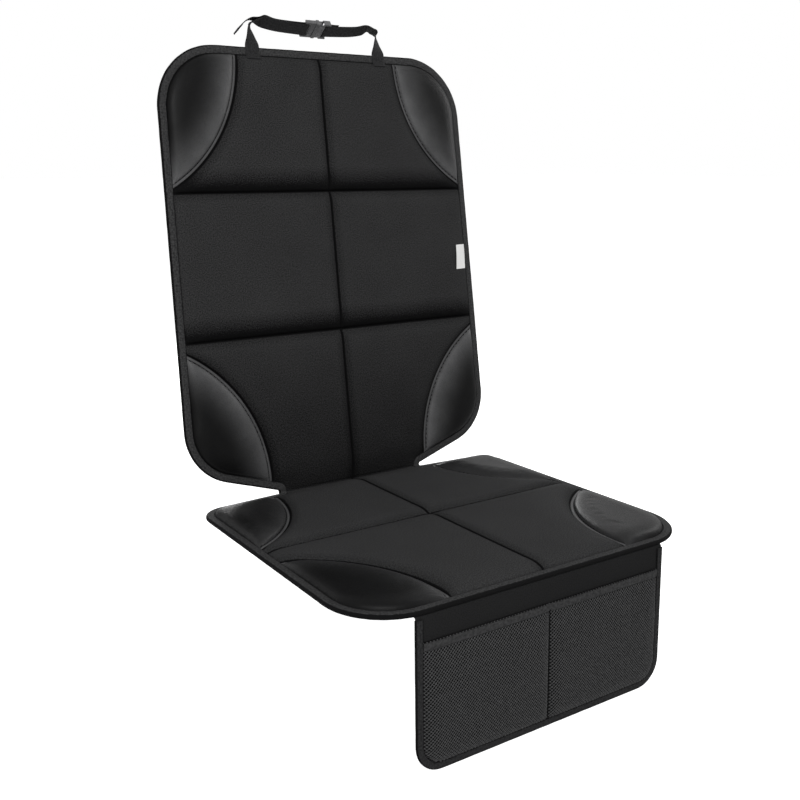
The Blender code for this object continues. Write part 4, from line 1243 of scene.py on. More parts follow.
@dataclass
class QuiltedPart:
    """The back or the seat: a quilted fabric panel and four leather corners, all puffed by their padding."""

    name: str
    plan: MatPlan
    end: float
    seams: tuple[float, ...]
    corners: dict[Corner, RoundSeam]
    field_crown: float = 0.0085
    patch_crown: float = 0.0090
    shoulder: float = 0.024
    crease_shoulder: float = 0.036
    centre_shoulder: float = 0.016
    centre_dip: float = 0.42
    topstitch: float = 0.0050
    folded_edge: float = 0.0013
    groove: float = 0.0010
    grid: float = 0.0034
    puffing: PuffSettings = PuffSettings()
    tops: list[tuple[Array, Faces]] = field(default_factory=list)

    def __post_init__(self) -> None:
        """Draws the outline of the part's right half."""
        self.side = math.copysign(1, self.end)
        self.crease = self.side * self.plan.gap / 2
        edge = self.plan.half_edge()
        inner = edge.inset(self.plan.pad_inset)
        inner = inner[(inner[:, 1] - self.crease) * self.side > 1e-4]
        inner = inner if self.side > 0 else inner[::-1]
        self.half = np.vstack([inner, [[self.width_at(self.crease), self.crease]]])
        self.outline = self.plan.loop()

    def width_at(self, v: float) -> float:
        """Returns half the width of the pads at v."""
        inner = self.plan.half_edge().inset(self.plan.pad_inset)
        return float(np.interp(-v, -inner[:, 1], inner[:, 0]))

    def edge_depth(self, points: Array) -> Array:
        """Returns how far points are in from the binding's inner edge."""
        return distance(points, self.outline.points) - self.plan.lip_end

    def height(self, points: Array, corner: Corner | None) -> Array:
        """Shapes the padding at rest.

        Args:
            points: flat points.
            corner: the leather corner that they are on, or None on the panel.

        Returns:
            Their heights over the backing's outer face.
        """
        height = rise(self.edge_depth(points) / self.shoulder)
        height *= np.sin(np.clip(np.abs(points[:, 1]) / self.crease_shoulder, 0, 1) * math.pi / 2)
        for seam in self.seams:
            height *= rise(np.abs(points[:, 1] - seam) / self.shoulder)
        if corner is None:
            for seam in self.corners.values():
                height *= rise(np.abs(seam.depth(points)) / self.shoulder)
            height *= 1 - self.centre_dip * (1 - rise(np.abs(points[:, 0]) / self.centre_shoulder))
            near = np.abs(points[:, 0])
            for seam in self.seams:
                near = np.minimum(near, np.abs(points[:, 1] - seam))
            for seam in self.corners.values():
                near = np.minimum(near, np.abs(seam.depth(points)))
            pull = self.groove * np.exp(-((near / 0.0009) ** 2)) * np.clip(self.edge_depth(points) / 0.004, 0, 1)
            return self.plan.seam_top + self.field_crown * height - pull
        depth = self.corners[corner].depth(points)
        under_edge = np.clip(self.edge_depth(points) / 0.004, 0, 1)
        height *= rise((depth - self.topstitch) / self.shoulder)
        fold = self.folded_edge * rise(depth / 0.0012) * under_edge
        pull = 0.0009 * np.exp(-(((depth - self.topstitch) / 0.0007) ** 2)) * under_edge
        return self.plan.seam_top + self.patch_crown * height + fold - pull

    def panel_border(self) -> Array:
        """Returns the closed border of the centre panel."""
        line = self.half
        for seam in sorted(self.corners.values(), key=lambda s: -abs(s.centre[1])):
            radius = seam.radius + self.plan.gap / 2
            before, _, after = seam.cut(line, radius)
            line = np.array([*before[:-1], *seam.arc(radius, before[-1], after[0]), *after[1:]])
        mirrored = line[line[:, 0] > 1e-6][::-1] * [-1, 1]
        return np.vstack([line, mirrored])

    def patch_border(self, corner: Corner) -> Array:
        """Returns the closed border of the right-hand patch at a corner."""
        seam = self.corners[corner]
        radius = seam.radius - self.plan.gap / 2
        _, rim, _ = seam.cut(self.half, radius)
        return np.array([*rim, *seam.arc(radius, rim[-1], rim[0])[1:-1]])

    def scatter(self, border: Array, corner: Corner | None) -> Array:
        """Spreads points over a piece: rows beside its seams and a hexagonal grid between them.

        Args:
            border: the piece's border.
            corner: the leather corner, or None for the panel.

        Returns:
            The points, none too near the border.
        """
        wide, low, high = self.plan.seat_width_front / 2, *sorted((self.crease, self.end))
        step = self.grid
        depth = self.edge_depth
        families: list[tuple[Array, Callable[[Array], Array], float]] = []
        lip = [along_line(self.closed_inset(self.plan.lip_end + row), ROW_SPACING) for row in SEAM_ROWS]
        families.append((np.vstack(lip), lambda p: np.abs(depth(p)), 0.0054))
        rows = (-SEAM_ROWS[2], -SEAM_ROWS[0], -SEAM_ROWS[1]) if corner is None else PATCH_ROWS
        for place, seam in self.corners.items():
            if corner in (None, place):
                line = np.vstack([seam.beside(row, 0.0026) for row in rows])
                line = np.vstack([line, line * [-1, 1]]) if corner is None else line
                reach = 0.0056 if corner is None else 0.0106
                families.append((line, lambda p, s=seam: np.abs(s.depth(p)), reach))
        for seam_v in self.seams:
            levels = [seam_v + sign * row for row in SEAM_ROWS for sign in (-1, 1)]
            line = [straight((-wide, v), (wide, v), ROW_SPACING) for v in levels]
            families.append((np.vstack(line), lambda p, v=seam_v: np.abs(p[:, 1] - v), 0.0056))
        if corner is None:
            columns = [sign * row for row in MIDDLE_ROWS for sign in (-1, 1)]
            line = [straight((u, low), (u, high), ROW_SPACING) for u in columns]
            families.append((np.vstack(line), lambda p: np.abs(p[:, 0]), 0.0050))
        rows_v = np.arange(low, high, step * math.sqrt(0.75))
        across = np.arange(-wide, wide, step)
        hexes = [np.stack([across + (i % 2) * step / 2, np.full(len(across), v)], 1) for i, v in enumerate(rows_v)]
        families.append((np.vstack(hexes), lambda p: np.full(len(p), 1.0), 0.0))
        kept = []
        for i, (points, _, _) in enumerate(families):
            points = points[inside(points, border)]
            for _, measure, reach in families[:i]:
                points = points[measure(points) > reach]
            kept.append(points)
        points = np.vstack(kept)
        return points[distance(points, border) > 0.0012]

    def closed_inset(self, amount: float) -> Array:
        """Returns the outline moved in by an amount, with its first point again at the end."""
        line = self.outline.inset(amount)
        return np.vstack([line, line[:1]])

    def guide_lines(self, corner: Corner | None) -> list[Array]:
        """Returns the lines that the triangles keep to: the seams, the lip and the bend's rows."""
        wide = self.plan.seat_width_front / 2
        lines = [self.closed_inset(self.plan.lip_end)]
        levels = [self.crease + (self.side * self.plan.bend - self.crease) * share for share in (0.25, 0.5, 0.75, 1.0)]
        reach = self.plan.notch_apex * 1.5
        lines += [np.array([[-reach, v], [0.0, v], [reach, v]]) for v in levels]
        if corner is None:
            lines.append(straight((0.0, self.crease), (0.0, self.end), ROW_SPACING))
        lines += [straight((-wide, v), (wide, v), ROW_SPACING) for v in self.seams]
        return lines

    def make_top(self, border: Array, corner: Corner | None) -> tuple[Array, Faces]:
        """Makes the upper side of a piece in the flat plan.

        Args:
            border: its closed border.
            corner: the leather corner, or None for the panel.

        Returns:
            The points and the triangles.
        """
        lines = self.guide_lines(corner)
        verts, faces = triangulate(border, lines, self.scatter(border, corner))
        points = np.column_stack([verts, self.height(verts, corner)])
        pinned = (self.edge_depth(verts) < 0.0010) | (distance(verts, border) < 0.0008)
        pinned |= np.abs(verts[:, 1]) < 0.006
        for seam in self.seams:
            pinned |= np.abs(verts[:, 1] - seam) < 0.0006
        if corner is None:
            pinned |= np.abs(verts[:, 0]) < 0.0004
        else:
            pinned |= self.corners[corner].depth(verts) < self.topstitch + 0.0005
        points = puff(points, faces, pinned, self.puffing)
        return points, faces

    def close(self, name: str, top: Array, faces: Faces, mirror: int, finish: Finish) -> Object:
        """Closes a piece with its side and its underside and folds it into place.

        Args:
            name: the piece's name.
            top: the points of its upper side, in the flat plan.
            faces: its triangles.
            mirror: -1 for the left-hand copy.
            finish: what it is made of.

        Returns:
            The finished piece.
        """
        shell = Shell()
        turn = np.array([mirror, 1, 1])
        faces = faces if mirror > 0 else [face[::-1] for face in faces]
        shell.add(self.plan.fold(top * turn), top[:, :2] * turn[:2], faces)
        rim = rim_of(faces)
        under = (top[rim] * turn)[:, :2]
        floor, floor_faces = triangulate(under, self.guide_lines(Corner.BACK_TOP)[1:5], np.zeros((0, 2)))
        low = np.column_stack([floor, np.full(len(floor), self.plan.pad_bottom)])
        feet = shell.add(self.plan.fold(low), floor, [face[::-1] for face in floor_faces])
        tree = {tuple(np.round(spot, 7)): number for spot, number in zip(floor, feet)}
        floor_rim = rim_of(floor_faces)
        below = [tree[tuple(np.round(floor[i], 7))] for i in floor_rim]
        self.wall(shell, rim, below)
        return shell.make(name, finish.build())

    def wall(self, shell: Shell, rim: list[int], below: list[int]) -> None:
        """Joins the rims of the upper side and the underside, which may differ in their points.

        Args:
            shell: the mesh in the making.
            rim: the upper rim's point numbers.
            below: the lower rim's point numbers.
        """
        plans = np.concatenate(shell.plans)
        upper, lower = plans[rim], plans[below]
        start = int(np.argmin(np.linalg.norm(lower - upper[0], axis=1)))
        below = below[start:] + below[:start]
        lower = plans[below]

        def travelled(line: Array) -> Array:
            lengths = np.linalg.norm(np.roll(line, -1, axis=0) - line, axis=1)
            return np.concatenate([[0], np.cumsum(lengths)]) / lengths.sum()

        a, b = travelled(upper), travelled(lower)
        i = j = 0
        while i < len(rim) or j < len(below):
            top_here, low_here = rim[i % len(rim)], below[j % len(below)]
            if j >= len(below) or (i < len(rim) and a[i + 1] <= b[j + 1]):
                shell.faces.append([low_here, rim[(i + 1) % len(rim)], top_here])
                i += 1
            else:
                shell.faces.append([low_here, below[(j + 1) % len(below)], top_here])
                j += 1

    def build(self) -> list[Object]:
        """Builds the panel and the leather corners.

        Returns:
            The finished pieces.
        """
        made = []
        top, faces = self.make_top(self.panel_border(), None)
        self.tops.append((top, faces))
        panel = f"{self.name}_panel"
        piece = self.close(f"{panel}_quilted", top, faces, 1, FINISHES.oxford)
        made.append(settle(piece, "oxford_fabric", panel))
        for corner in self.corners:
            top, faces = self.make_top(self.patch_border(corner), corner)
            for side in Side:
                turn = np.array([side.value, 1, 1])
                self.tops.append((top * turn, faces))
                node = f"{corner.value}_{side.name.lower()}"
                piece = self.close(f"{node}_leather", top, faces, side.value, FINISHES.leather)
                made.append(settle(piece, "imitation_leather", node))
        return made


@dataclass
class Stitcher:
    """Lays sewing stitches. One stitch is modelled and copied along each seam."""

    radius: float = 0.00034
    length: float = 0.0030
    pitch: float = 0.0040
    sink: float = 0.35

    def __post_init__(self) -> None:
        """Models the one stitch: a short thread that dives into the cloth at both ends."""
        bpy.ops.object.select_all(action="DESELECT")
        bpy.ops.mesh.primitive_uv_sphere_add(segments=6, ring_count=5, radius=1.0)
        pattern = bpy.context.active_object
        mesh = pattern.data
        flat = np.zeros(len(mesh.vertices) * 3)
        mesh.vertices.foreach_get("co", flat)
        self.shape = flat.reshape(-1, 3)[:, [2, 0, 1]]
        self.faces = [list(face.vertices) for face in mesh.polygons]
        bpy.data.objects.remove(pattern, do_unlink=True)

    def row(self, shell: Shell, line: Array, normals: Array, offset: float = 0.0) -> None:
        """Adds stitches along a line in the world.

        Args:
            shell: the mesh that takes them.
            line: the line's points.
            normals: the direction out of the cloth at each of them.
            offset: how far the stitches stand off the line.
        """
        place = travel_along(line)
        count = int(place[-1] / self.pitch)
        if count < 1:
            return
        for centre in (np.arange(count) + 0.5) * place[-1] / count:
            ends = [read_at(s, place, line) for s in (centre - PROBE, centre + PROBE)]
            along = unit(ends[1] - ends[0])
            out = read_at(centre, place, normals)
            out = unit(out - along * (out @ along))
            middle = (ends[0] + ends[1]) / 2 + out * (offset + self.radius * self.sink)
            drop = self.radius * 0.8 * self.shape[:, 0] ** 2
            spots = middle + np.outer(self.shape[:, 0] * self.length / 2, along)
            spots += np.outer(self.shape[:, 1] * self.radius, np.cross(along, out))
            spots += np.outer(self.shape[:, 2] * self.radius - drop, out)
            shell.add(spots, spots[:, :2], self.faces)


class PadSurface:
    """Finds the height of the finished pads under a flat point."""

    def __init__(self, plan: MatPlan, tops: Sequence[tuple[Array, Faces]]) -> None:
        """Builds a search tree over the upper sides.

        Args:
            plan: the mat's plan.
            tops: the upper sides, in the flat plan.
        """
        self.plan = plan
        points, faces = [], []
        for top, triangles in tops:
            start = len(points)
            points += top.tolist()
            faces += [[start + i for i in face] for face in triangles]
        self.tree = BVHTree.FromPolygons(points, faces)

    def height(self, u: float, v: float, missing: float = 0.0033) -> float:
        """Returns the height at a flat point, or the missing value where there is no pad."""
        hit = self.tree.ray_cast(Vector((u, v, 0.05)), Vector((0, 0, -1)))
        return hit[0].z if hit[0] else missing

    def lift(self, line: Array) -> tuple[Array, Array]:
        """Puts a flat line on the pads.

        Args:
            line: flat points.

        Returns:
            Their places in the world and the directions out of the mat there.
        """
        heights = np.array([self.height(u, v) for u, v in line])
        return self.plan.lift(np.column_stack([line, heights]))


@dataclass
class Stitching:
    """All seams of the back and the seat that show their thread."""

    plan: MatPlan
    parts: Sequence[QuiltedPart]
    binding_seam: float = 0.0092

    def build(self) -> list[Object]:
        """Sews the leather corners, the quilting and the binding.

        Returns:
            The pieces of thread.
        """
        surface = PadSurface(self.plan, [top for part in self.parts for top in part.tops])
        return [self.topstitches(surface), self.quilting(surface), self.binding()]

    def topstitches(self, surface: PadSurface) -> Object:
        """Sews the row beside each leather corner's folded edge."""
        shell, stitcher = Shell(), Stitcher(radius=0.00055, length=0.0044, pitch=0.0068)
        for part in self.parts:
            for seam in part.corners.values():
                line = seam.beside(part.topstitch, 0.002, 0.0)
                line = line[part.edge_depth(line) > 0.0006]
                for side in Side:
                    stitcher.row(shell, *surface.lift(line * [side.value, 1]), offset=0.0002)
        return settle(shell.make("topstitch_thread", FINISHES.dark_thread.build()), "imitation_leather")

    def quilting(self, surface: PadSurface) -> Object:
        """Sews the quilting's rows and the seam down the middle, in near-black thread that also paints the shade line
        in each groove.
        """
        # Long stitches at a short pitch make a near-continuous dark row: real thread, and painted shade in the groove.
        shell, stitcher = Shell(), Stitcher(radius=0.00042, length=0.0040, pitch=0.0044)
        for part in self.parts:
            low, high = sorted((part.crease + part.side * 0.008, part.end))
            lines = [straight((0.0, low), (0.0, high), 0.002)]
            wide = self.plan.seat_width_front / 2
            lines += [straight((-wide, v), (wide, v), 0.002) for v in part.seams]
            for line in lines:
                line = line[part.edge_depth(line) > 0.0008]
                stitcher.row(shell, *surface.lift(line), offset=0.0001)
        return settle(shell.make("quilting_thread", FINISHES.dark_thread.build()), "oxford_fabric")

    def binding(self) -> Object:
        """Sews the binding, near its inner edge."""
        shell, stitcher = Shell(), Stitcher(radius=0.00034, length=0.0030, pitch=0.0042)
        edge = self.plan.loop()
        line = edge.inset(self.binding_seam)
        line = np.vstack([line, line[:1]])
        flat = np.column_stack([line, np.full(len(line), self.plan.binding_top)])
        places, normals = self.plan.lift(flat)
        calm = np.abs(line[:, 1]) > 0.004
        for start, end in self.stretches(calm):
            stitcher.row(shell, places[start:end], normals[start:end])
        return settle(shell.make("binding_thread", FINISHES.thread.build()), "binding_tape")

    def stretches(self, calm: Array) -> list[tuple[int, int]]:
        """Returns the start and end of each run of true values."""
        changes = np.flatnonzero(np.diff(np.concatenate([[0], calm.astype(int), [0]])))
        return [(int(a), int(b)) for a, b in zip(changes[::2], changes[1::2]) if b - a > 2]


@dataclass
class EdgeBinding:
    """The tape folded over the whole edge of the back and the seat, slightly uneven from its sewing."""

    plan: MatPlan
    waviness: float = 0.00016

    def section(self, low: float, high: float, face: float, wall: float) -> tuple[Array, Array]:
        """Draws the tape's section.

        Args:
            low: the height of its lower face.
            high: the height of its upper face.
            face: how far it reaches in from the edge.
            wall: how thick it is.

        Returns:
            The points as distances in and heights, and how far round the tape each one is.
        """
        middle, half = (low + high) / 2, (high - low) / 2
        reach = min(half, 0.0026)
        angles = np.radians(np.linspace(90, 270, 15))
        bulge = np.stack([reach + reach * np.cos(angles), middle + half * np.sin(angles)], 1)
        lie = np.linspace(face, reach, 7)[:-1]
        dome = 0.00035 * np.sin(np.pi * (face - lie) / (face - reach) * 0.9)
        upper = np.stack([lie, high - 0.0001 + dome * (lie < face)], 1)
        lower = np.stack([lie[::-1], np.full(6, low)], 1)
        outer = np.vstack([upper, bulge, lower])
        inner_angles = np.radians(np.linspace(270, 90, 9))
        narrow = half - wall
        inner = np.stack([reach + (reach - wall) * np.cos(inner_angles), middle + narrow * np.sin(inner_angles)], 1)
        inner = np.vstack([[[face, low + wall]], inner, [[face, high - wall]]])
        profile = np.vstack([outer, inner])
        return profile, travel_along(profile)

    def build(self) -> Object:
        """Builds the binding.

        Returns:
            The finished piece.
        """
        plan, edge = self.plan, self.plan.loop()
        profile, round_tape = self.section(plan.binding_foot, plan.binding_top, plan.binding_face, plan.tape)
        travel = travel_along(np.vstack([edge.points, edge.points[:1]]))
        whole = travel[-1]
        shift = ripple(travel[:-1], 0.030, 3) * self.waviness
        fade = np.clip(np.minimum(travel[:-1], whole - travel[:-1]) / 0.02, 0, 1)
        fade *= np.clip((np.abs(edge.points[:, 1]) - 0.004) / 0.02, 0, 1)
        spots = edge.points[:, None] + edge.inward[:, None] * (profile[:, 0] + (shift * fade)[:, None])[..., None]
        swell = 1 + 0.05 * ripple(travel[:-1], 0.014, 8) * fade
        middle = (plan.binding_foot + plan.binding_top) / 2
        heights = middle + (profile[:, 1] - middle) * swell[:, None]
        flat = np.concatenate([spots, heights[..., None]], axis=2)
        places = plan.fold(flat)
        plans = tape_plan(travel[:-1], round_tape)
        closing = plans[:1] + [whole, 0]
        shell = Shell()
        shell.grid(np.concatenate([places, places[:1]]), np.concatenate([plans, closing]), closed=True)
        made = shell.make("edge_binding_tape", FINISHES.tape.build())
        mend(made, merge=True)
        return settle(made, "binding_tape", "edge_binding")


@dataclass
class Backing:
    """The non-slip sheet under the back and the seat."""

    plan: MatPlan

    def build(self) -> Object:
        """Builds the sheet.

        Returns:
            The finished piece.
        """
        plan = self.plan
        inner = plan.half_edge().inset(plan.pad_inset)
        bend = np.linspace(-plan.bend, plan.bend, 13)
        rows = np.unique(np.round(np.concatenate([inner[:, 1], bend]), 5))
        half = np.interp(-rows, -inner[:, 1], inner[:, 0])
        across = np.linspace(-1, 1, 15)
        u = half[:, None] * across
        v = np.repeat(rows[:, None], len(across), axis=1)
        shell = Shell()
        sheets = []
        for level in (plan.backing_thickness, 0.0):
            flat = np.stack([u, v, np.full_like(u, level)], axis=2)
            sheets.append(shell.grid(plan.fold(flat), flat[..., :2], flip=level == 0.0))
        shell.skirt(*sheets)
        made = shell.make("non_slip_backing_sheet", FINISHES.backing.build())
        mend(made)
        return settle(made, "non_slip_sheet", "non_slip_backing")


@dataclass
class Flap:
    """The flap that hangs from the seat's front edge, with its two net pockets."""

    plan: MatPlan
    width: float = 0.364
    drop: float = 0.180
    radius: float = 0.034
    thickness: float = 0.0010
    margin: float = 0.014
    bend_radius: float = 0.0020
    setback: float = 0.0006
    tilt: float = math.radians(1.4)
    mouth: float = 0.031
    belly: float = 0.0062
    shoulder: float = 0.020
    net_thickness: float = 0.0006
    hem_height: float = 0.008
    face: float = 0.009
    tape: float = 0.0008
    divider: float = 0.001
    net_pitch: float = 0.0042
    yarn: float = 0.00040
    knot: tuple[float, float, float] = (0.00088, 0.00108, 0.00018)
    knot_sides: int = 5
    mouth_draw: float = 0.30

    @property
    def bend_length(self) -> float:
        """The length of the bend at the flap's top, along its middle layer."""
        return (self.bend_radius + self.thickness / 2) * (math.pi / 2 + self.tilt)

    @property
    def net_base(self) -> float:
        """Where the net lies on the flap, in front of its rear face."""
        return self.thickness + self.plan.gap

    def hang(self, flat: Array) -> Array:
        """Hangs flat points of the flap in their places.

        Args:
            flat: u, w, which runs down the flap, and m, towards its front, along the last axis of an array.

        Returns:
            The array with x, y and z in their places.
        """
        u, w, m = np.moveaxis(np.asarray(flat, float), -1, 0)
        top = self.plan.binding_foot - self.plan.gap
        out = m + self.bend_radius
        axis_y = -self.plan.seat_depth / 2 + self.setback + self.bend_radius + self.thickness
        axis_z = top - self.thickness - self.bend_radius
        turn = math.pi / 2 + self.tilt
        angle = np.clip(w / self.bend_length, 0, 1) * turn
        down = np.maximum(0.0, w - self.bend_length)
        y = axis_y - out * np.sin(angle) + down * np.cos(angle) + np.maximum(0.0, -w)
        z = axis_z + out * np.cos(angle) - down * np.sin(angle)
        return np.stack([u, y, z], axis=-1)

    def half_edge(self) -> EdgeLine:
        """Draws the right half of the flap's outline, from its top to the middle of its bottom."""
        half, start = self.width / 2, self.bend_radius * 2.4
        first = EdgeLine(np.array([[half, -start]]), np.array([[-1.0, 0.0]]))
        corner = fillet((half, 0.0), (half, -self.drop), (0, -self.drop), self.radius, 0.003)
        last = EdgeLine(np.array([[0.0, -self.drop]]), np.array([[0.0, 1.0]]))
        return joined([first, corner, last], 0.0036)

    def outline(self) -> EdgeLine:
        """Returns the open outline from the right top round to the left top, each point once."""
        half = self.half_edge()
        whole = half.mirrored()
        keep = np.ones(len(whole.points), bool)
        keep[len(half.points)] = False
        return EdgeLine(whole.points[keep], whole.inward[keep])

    def half_at(self, w: Array) -> Array:
        """Returns half the width of the flap's cloth at w."""
        inner = self.half_edge().inset(self.tape + self.plan.gap)
        return np.interp(w, -inner[:, 1], inner[:, 0])

    def net_height(self, points: Array) -> Array:
        """Returns how far the net stands in front of the flap's rear face at flat points."""
        outline = self.outline().points * [1, -1]
        edge = distance(points, outline) - self.face - self.plan.gap
        height = rise(edge / self.shoulder) * rise((np.abs(points[:, 0]) - self.divider) / self.shoulder)
        sag = 1 + 0.10 * np.sin(points[:, 0] * 61) * np.sin(points[:, 1] * 47 + 1)
        drawn = self.mouth_draw + (1 - self.mouth_draw) * np.clip((points[:, 1] - self.mouth) / 0.06, 0, 1)
        return self.net_base + self.belly * height * np.minimum(sag, 1.0) * drawn

    def build(self) -> list[Object]:
        """Builds the flap.

        Returns:
            Its pieces.
        """
        return [self.panel(), self.net(), self.hem(), self.binding(), self.thread()]

    def panel(self) -> Object:
        """Builds the flap's fabric, with the margin that is sewn under the seat."""
        inner = self.half_edge().inset(self.tape + self.plan.gap)
        start = np.array([-self.margin, -self.margin / 2, 0.0, *np.linspace(0.2, 1.0, 5) * self.bend_length])
        rows = np.unique(np.round(np.concatenate([start, -inner[:, 1]]), 5))
        across = np.linspace(-1, 1, 41)
        u = self.half_at(rows)[:, None] * across
        w = np.repeat(rows[:, None], len(across), axis=1)
        shell, sheets = Shell(), []
        for level in (self.thickness, 0.0):
            flat = np.stack([u, w, np.full_like(u, level)], axis=2)
            sheets.append(shell.grid(self.hang(flat), flat[..., :2], flip=level == 0.0))
        shell.skirt(*sheets)
        made = shell.make("flap_panel_cloth", FINISHES.flap_cloth_painted_shade.build())
        mend(made)
        return settle(made, "oxford_fabric", "flap_panel")

    def net(self) -> Object:
        """Builds the pockets' net out of its yarns, in a diamond mesh."""
        pitch = self.net_pitch
        border_line = self.outline().inset(self.tape + self.plan.gap + 0.0005) * [1, -1]
        border_line = border_line[border_line[:, 1] > self.mouth]
        right = self.half_at(np.array([self.mouth]))[0]
        border = np.vstack([[[right, self.mouth]], border_line, [[-right, self.mouth]]])
        count_u, count_w = int(self.width / pitch) + 2, int((self.drop - self.mouth) / (pitch / 2)) + 2
        ends = []
        for j in range(count_w):
            for i in range(-count_u // 2, count_u // 2 + 1):
                u = (i + 0.5 * (j % 2)) * pitch
                w = self.mouth + j * pitch * 0.5
                for side in (-1, 1):
                    ends.append([u, w, u + side * pitch / 2, w + pitch * 0.5])
        ends = np.array(ends)
        keep = inside(ends[:, :2], border) & inside(ends[:, 2:], border)
        ends = ends[keep]
        starts, stops = ends[:, :2], ends[:, 2:]
        base = self.net_thickness / 2
        a = self.hang(np.column_stack([starts, self.net_height(starts) + base]))
        b = self.hang(np.column_stack([stops, self.net_height(stops) + base]))
        along = b - a
        along /= np.linalg.norm(along, axis=1, keepdims=True)
        out = np.repeat([[0.0, -1.0, 0.0]], len(a), axis=0)
        side_way = np.cross(along, out)
        side_way /= np.linalg.norm(side_way, axis=1, keepdims=True)
        thick = self.yarn
        offsets = [side_way * thick - out * thick * 0.55, out * thick * 0.75, -side_way * thick - out * thick * 0.55]
        rings = [end + offset for end in (a, b) for offset in offsets]
        points = np.stack(rings, axis=1).reshape(-1, 3)
        yarn_faces = [[0, 3, 4, 1], [1, 4, 5, 2], [2, 5, 3, 0], [0, 1, 2], [5, 4, 3]]
        faces = [[6 * k + i for i in face] for k in range(len(a)) for face in yarn_faces]
        shell = Shell()
        shell.add(points, points[:, [0, 2]], faces)
        self.knots(shell, starts, base)
        made = shell.make("pocket_net_mesh", FINISHES.net.build())
        mend(made)
        return settle(made, "pocket_net", "pocket_net")

    def knots(self, shell: Shell, spots: Array, base: float) -> None:
        """Adds the net's knots, each a low five-sided dome.

        Args:
            shell: the net in the making.
            spots: where the yarns cross, in the flap's flat plan.
            base: how far the net's middle is off the cloth.
        """
        spots = np.unique(np.round(spots, 6), axis=0)
        n = self.knot_sides
        angles = np.arange(n) * 2 * math.pi / n
        wide, tall, low = self.knot
        foot = np.stack([wide * np.cos(angles), tall * np.sin(angles), np.full(n, -low)], 1)
        shape = np.vstack([foot, foot * [0.6, 0.6, -1.6]])
        centres = np.column_stack([spots, self.net_height(spots) + base])
        points = self.hang((centres[:, None] + shape).reshape(-1, 3))
        faces = []
        for k in range(len(spots)):
            s = 2 * n * k
            faces += [[s + i, s + (i + 1) % n, s + n + (i + 1) % n, s + n + i] for i in range(n)]
            faces += [[s + n + i for i in range(n)], [s + n - 1 - i for i in range(n)]]
        shell.add(points, points[:, [0, 2]], faces)

    def hem(self) -> Object:
        """Builds the tape along the pockets' mouth, folded over the net's upper edge."""
        reach = self.width / 2 - self.face - 2 * self.plan.gap
        across = np.linspace(-reach, reach, 120)
        height, t = self.hem_height, 0.0005
        profile = np.array([
            (height, 0.0), (height * 0.5, t * 0.6), (0.0008, t * 0.6), (0.0, 0.0), (-0.0003, -0.0006),
            (0.0, -0.0012), (0.0008, -0.0014), (height * 0.5, -0.0014), (height, -0.0014),
            (height, -0.0009), (0.0012, -0.0009), (0.0012, -0.0004), (height, -0.0004),
        ])
        round_tape = travel_along(profile)
        base = self.net_height(np.column_stack([across, np.full(len(across), self.mouth + 0.004)]))
        base = base + self.net_thickness + 0.0011 + 0.00008 * ripple(across, 0.02, 5)
        flat = np.zeros((len(across), len(profile), 3))
        flat[..., 0] = across[:, None]
        flat[..., 1] = self.mouth + profile[:, 0]
        flat[..., 2] = np.maximum(base[:, None] + profile[:, 1], self.thickness + 0.00005)
        shell = Shell()
        shell.tube(self.hang(flat), tape_plan(across, round_tape))
        made = shell.make("pocket_hem_tape", FINISHES.hem.build())
        mend(made)
        return settle(made, "binding_tape", "pocket_hem")

    def binding(self) -> Object:
        """Builds the tape folded over the flap's sides and bottom."""
        edge = self.outline()
        high = self.net_base + self.net_thickness + self.plan.gap + self.tape
        low = -self.plan.gap - self.tape
        profile, round_tape = EdgeBinding(self.plan).section(low, high, self.face, self.tape)
        travel = travel_along(edge.points)
        shift = ripple(travel, 0.03, 11) * 0.00014
        spots = edge.points[:, None] + edge.inward[:, None] * (profile[:, 0] + shift[:, None])[..., None]
        flat = np.concatenate([spots * [1, -1], np.broadcast_to(profile[:, 1, None], (*spots.shape[:2], 1))], axis=2)
        shell = Shell()
        shell.tube(self.hang(flat), tape_plan(travel, round_tape))
        made = shell.make("flap_binding_sewn", FINISHES.flap_tape_painted_shade.build())
        mend(made)
        return settle(made, "binding_tape", "flap_binding")

    def thread(self) -> Object:
        """Sews the flap: its binding, the hem and the seam between the pockets, and lays a dark row just above the hem
        that paints the shade line along the pockets' mouth.
        """
        shell, stitcher = Shell(), Stitcher(radius=0.00042, length=0.0038, pitch=0.0041)
        line = self.outline().inset(self.face + 0.0003) * [1, -1]
        rows = [(line, np.full(len(line), self.net_base + self.net_thickness + 0.0002))]
        reach = self.width / 2 - self.face - 0.001
        # The second row, just above the hem, is painted shade: dark stitches for the shade line along the pockets'
        # mouth.
        for w in (self.mouth + self.hem_height + 0.0002, self.mouth - 0.0006):
            along = straight((-reach, w), (reach, w), 0.002)
            on_net = w > self.mouth
            lift = self.net_height(along) + self.net_thickness if on_net else np.full(len(along), self.thickness)
            rows.append((along, lift + 0.0002))
        down = straight((0.0, self.mouth + 0.001), (0.0, self.drop - self.face), 0.002)
        levels = np.full(len(down), self.net_base + self.net_thickness + 0.0014)
        rows += [(down + [side * 0.0004, 0], levels) for side in (-1, 1)]
        for flat, levels in rows:
            places = self.hang(np.column_stack([flat, levels]))
            above = self.hang(np.column_stack([flat, levels + PROBE]))
            stitcher.row(shell, places, (above - places) / PROBE)
        return settle(shell.make("flap_thread", FINISHES.dark_thread.build()), "binding_tape")


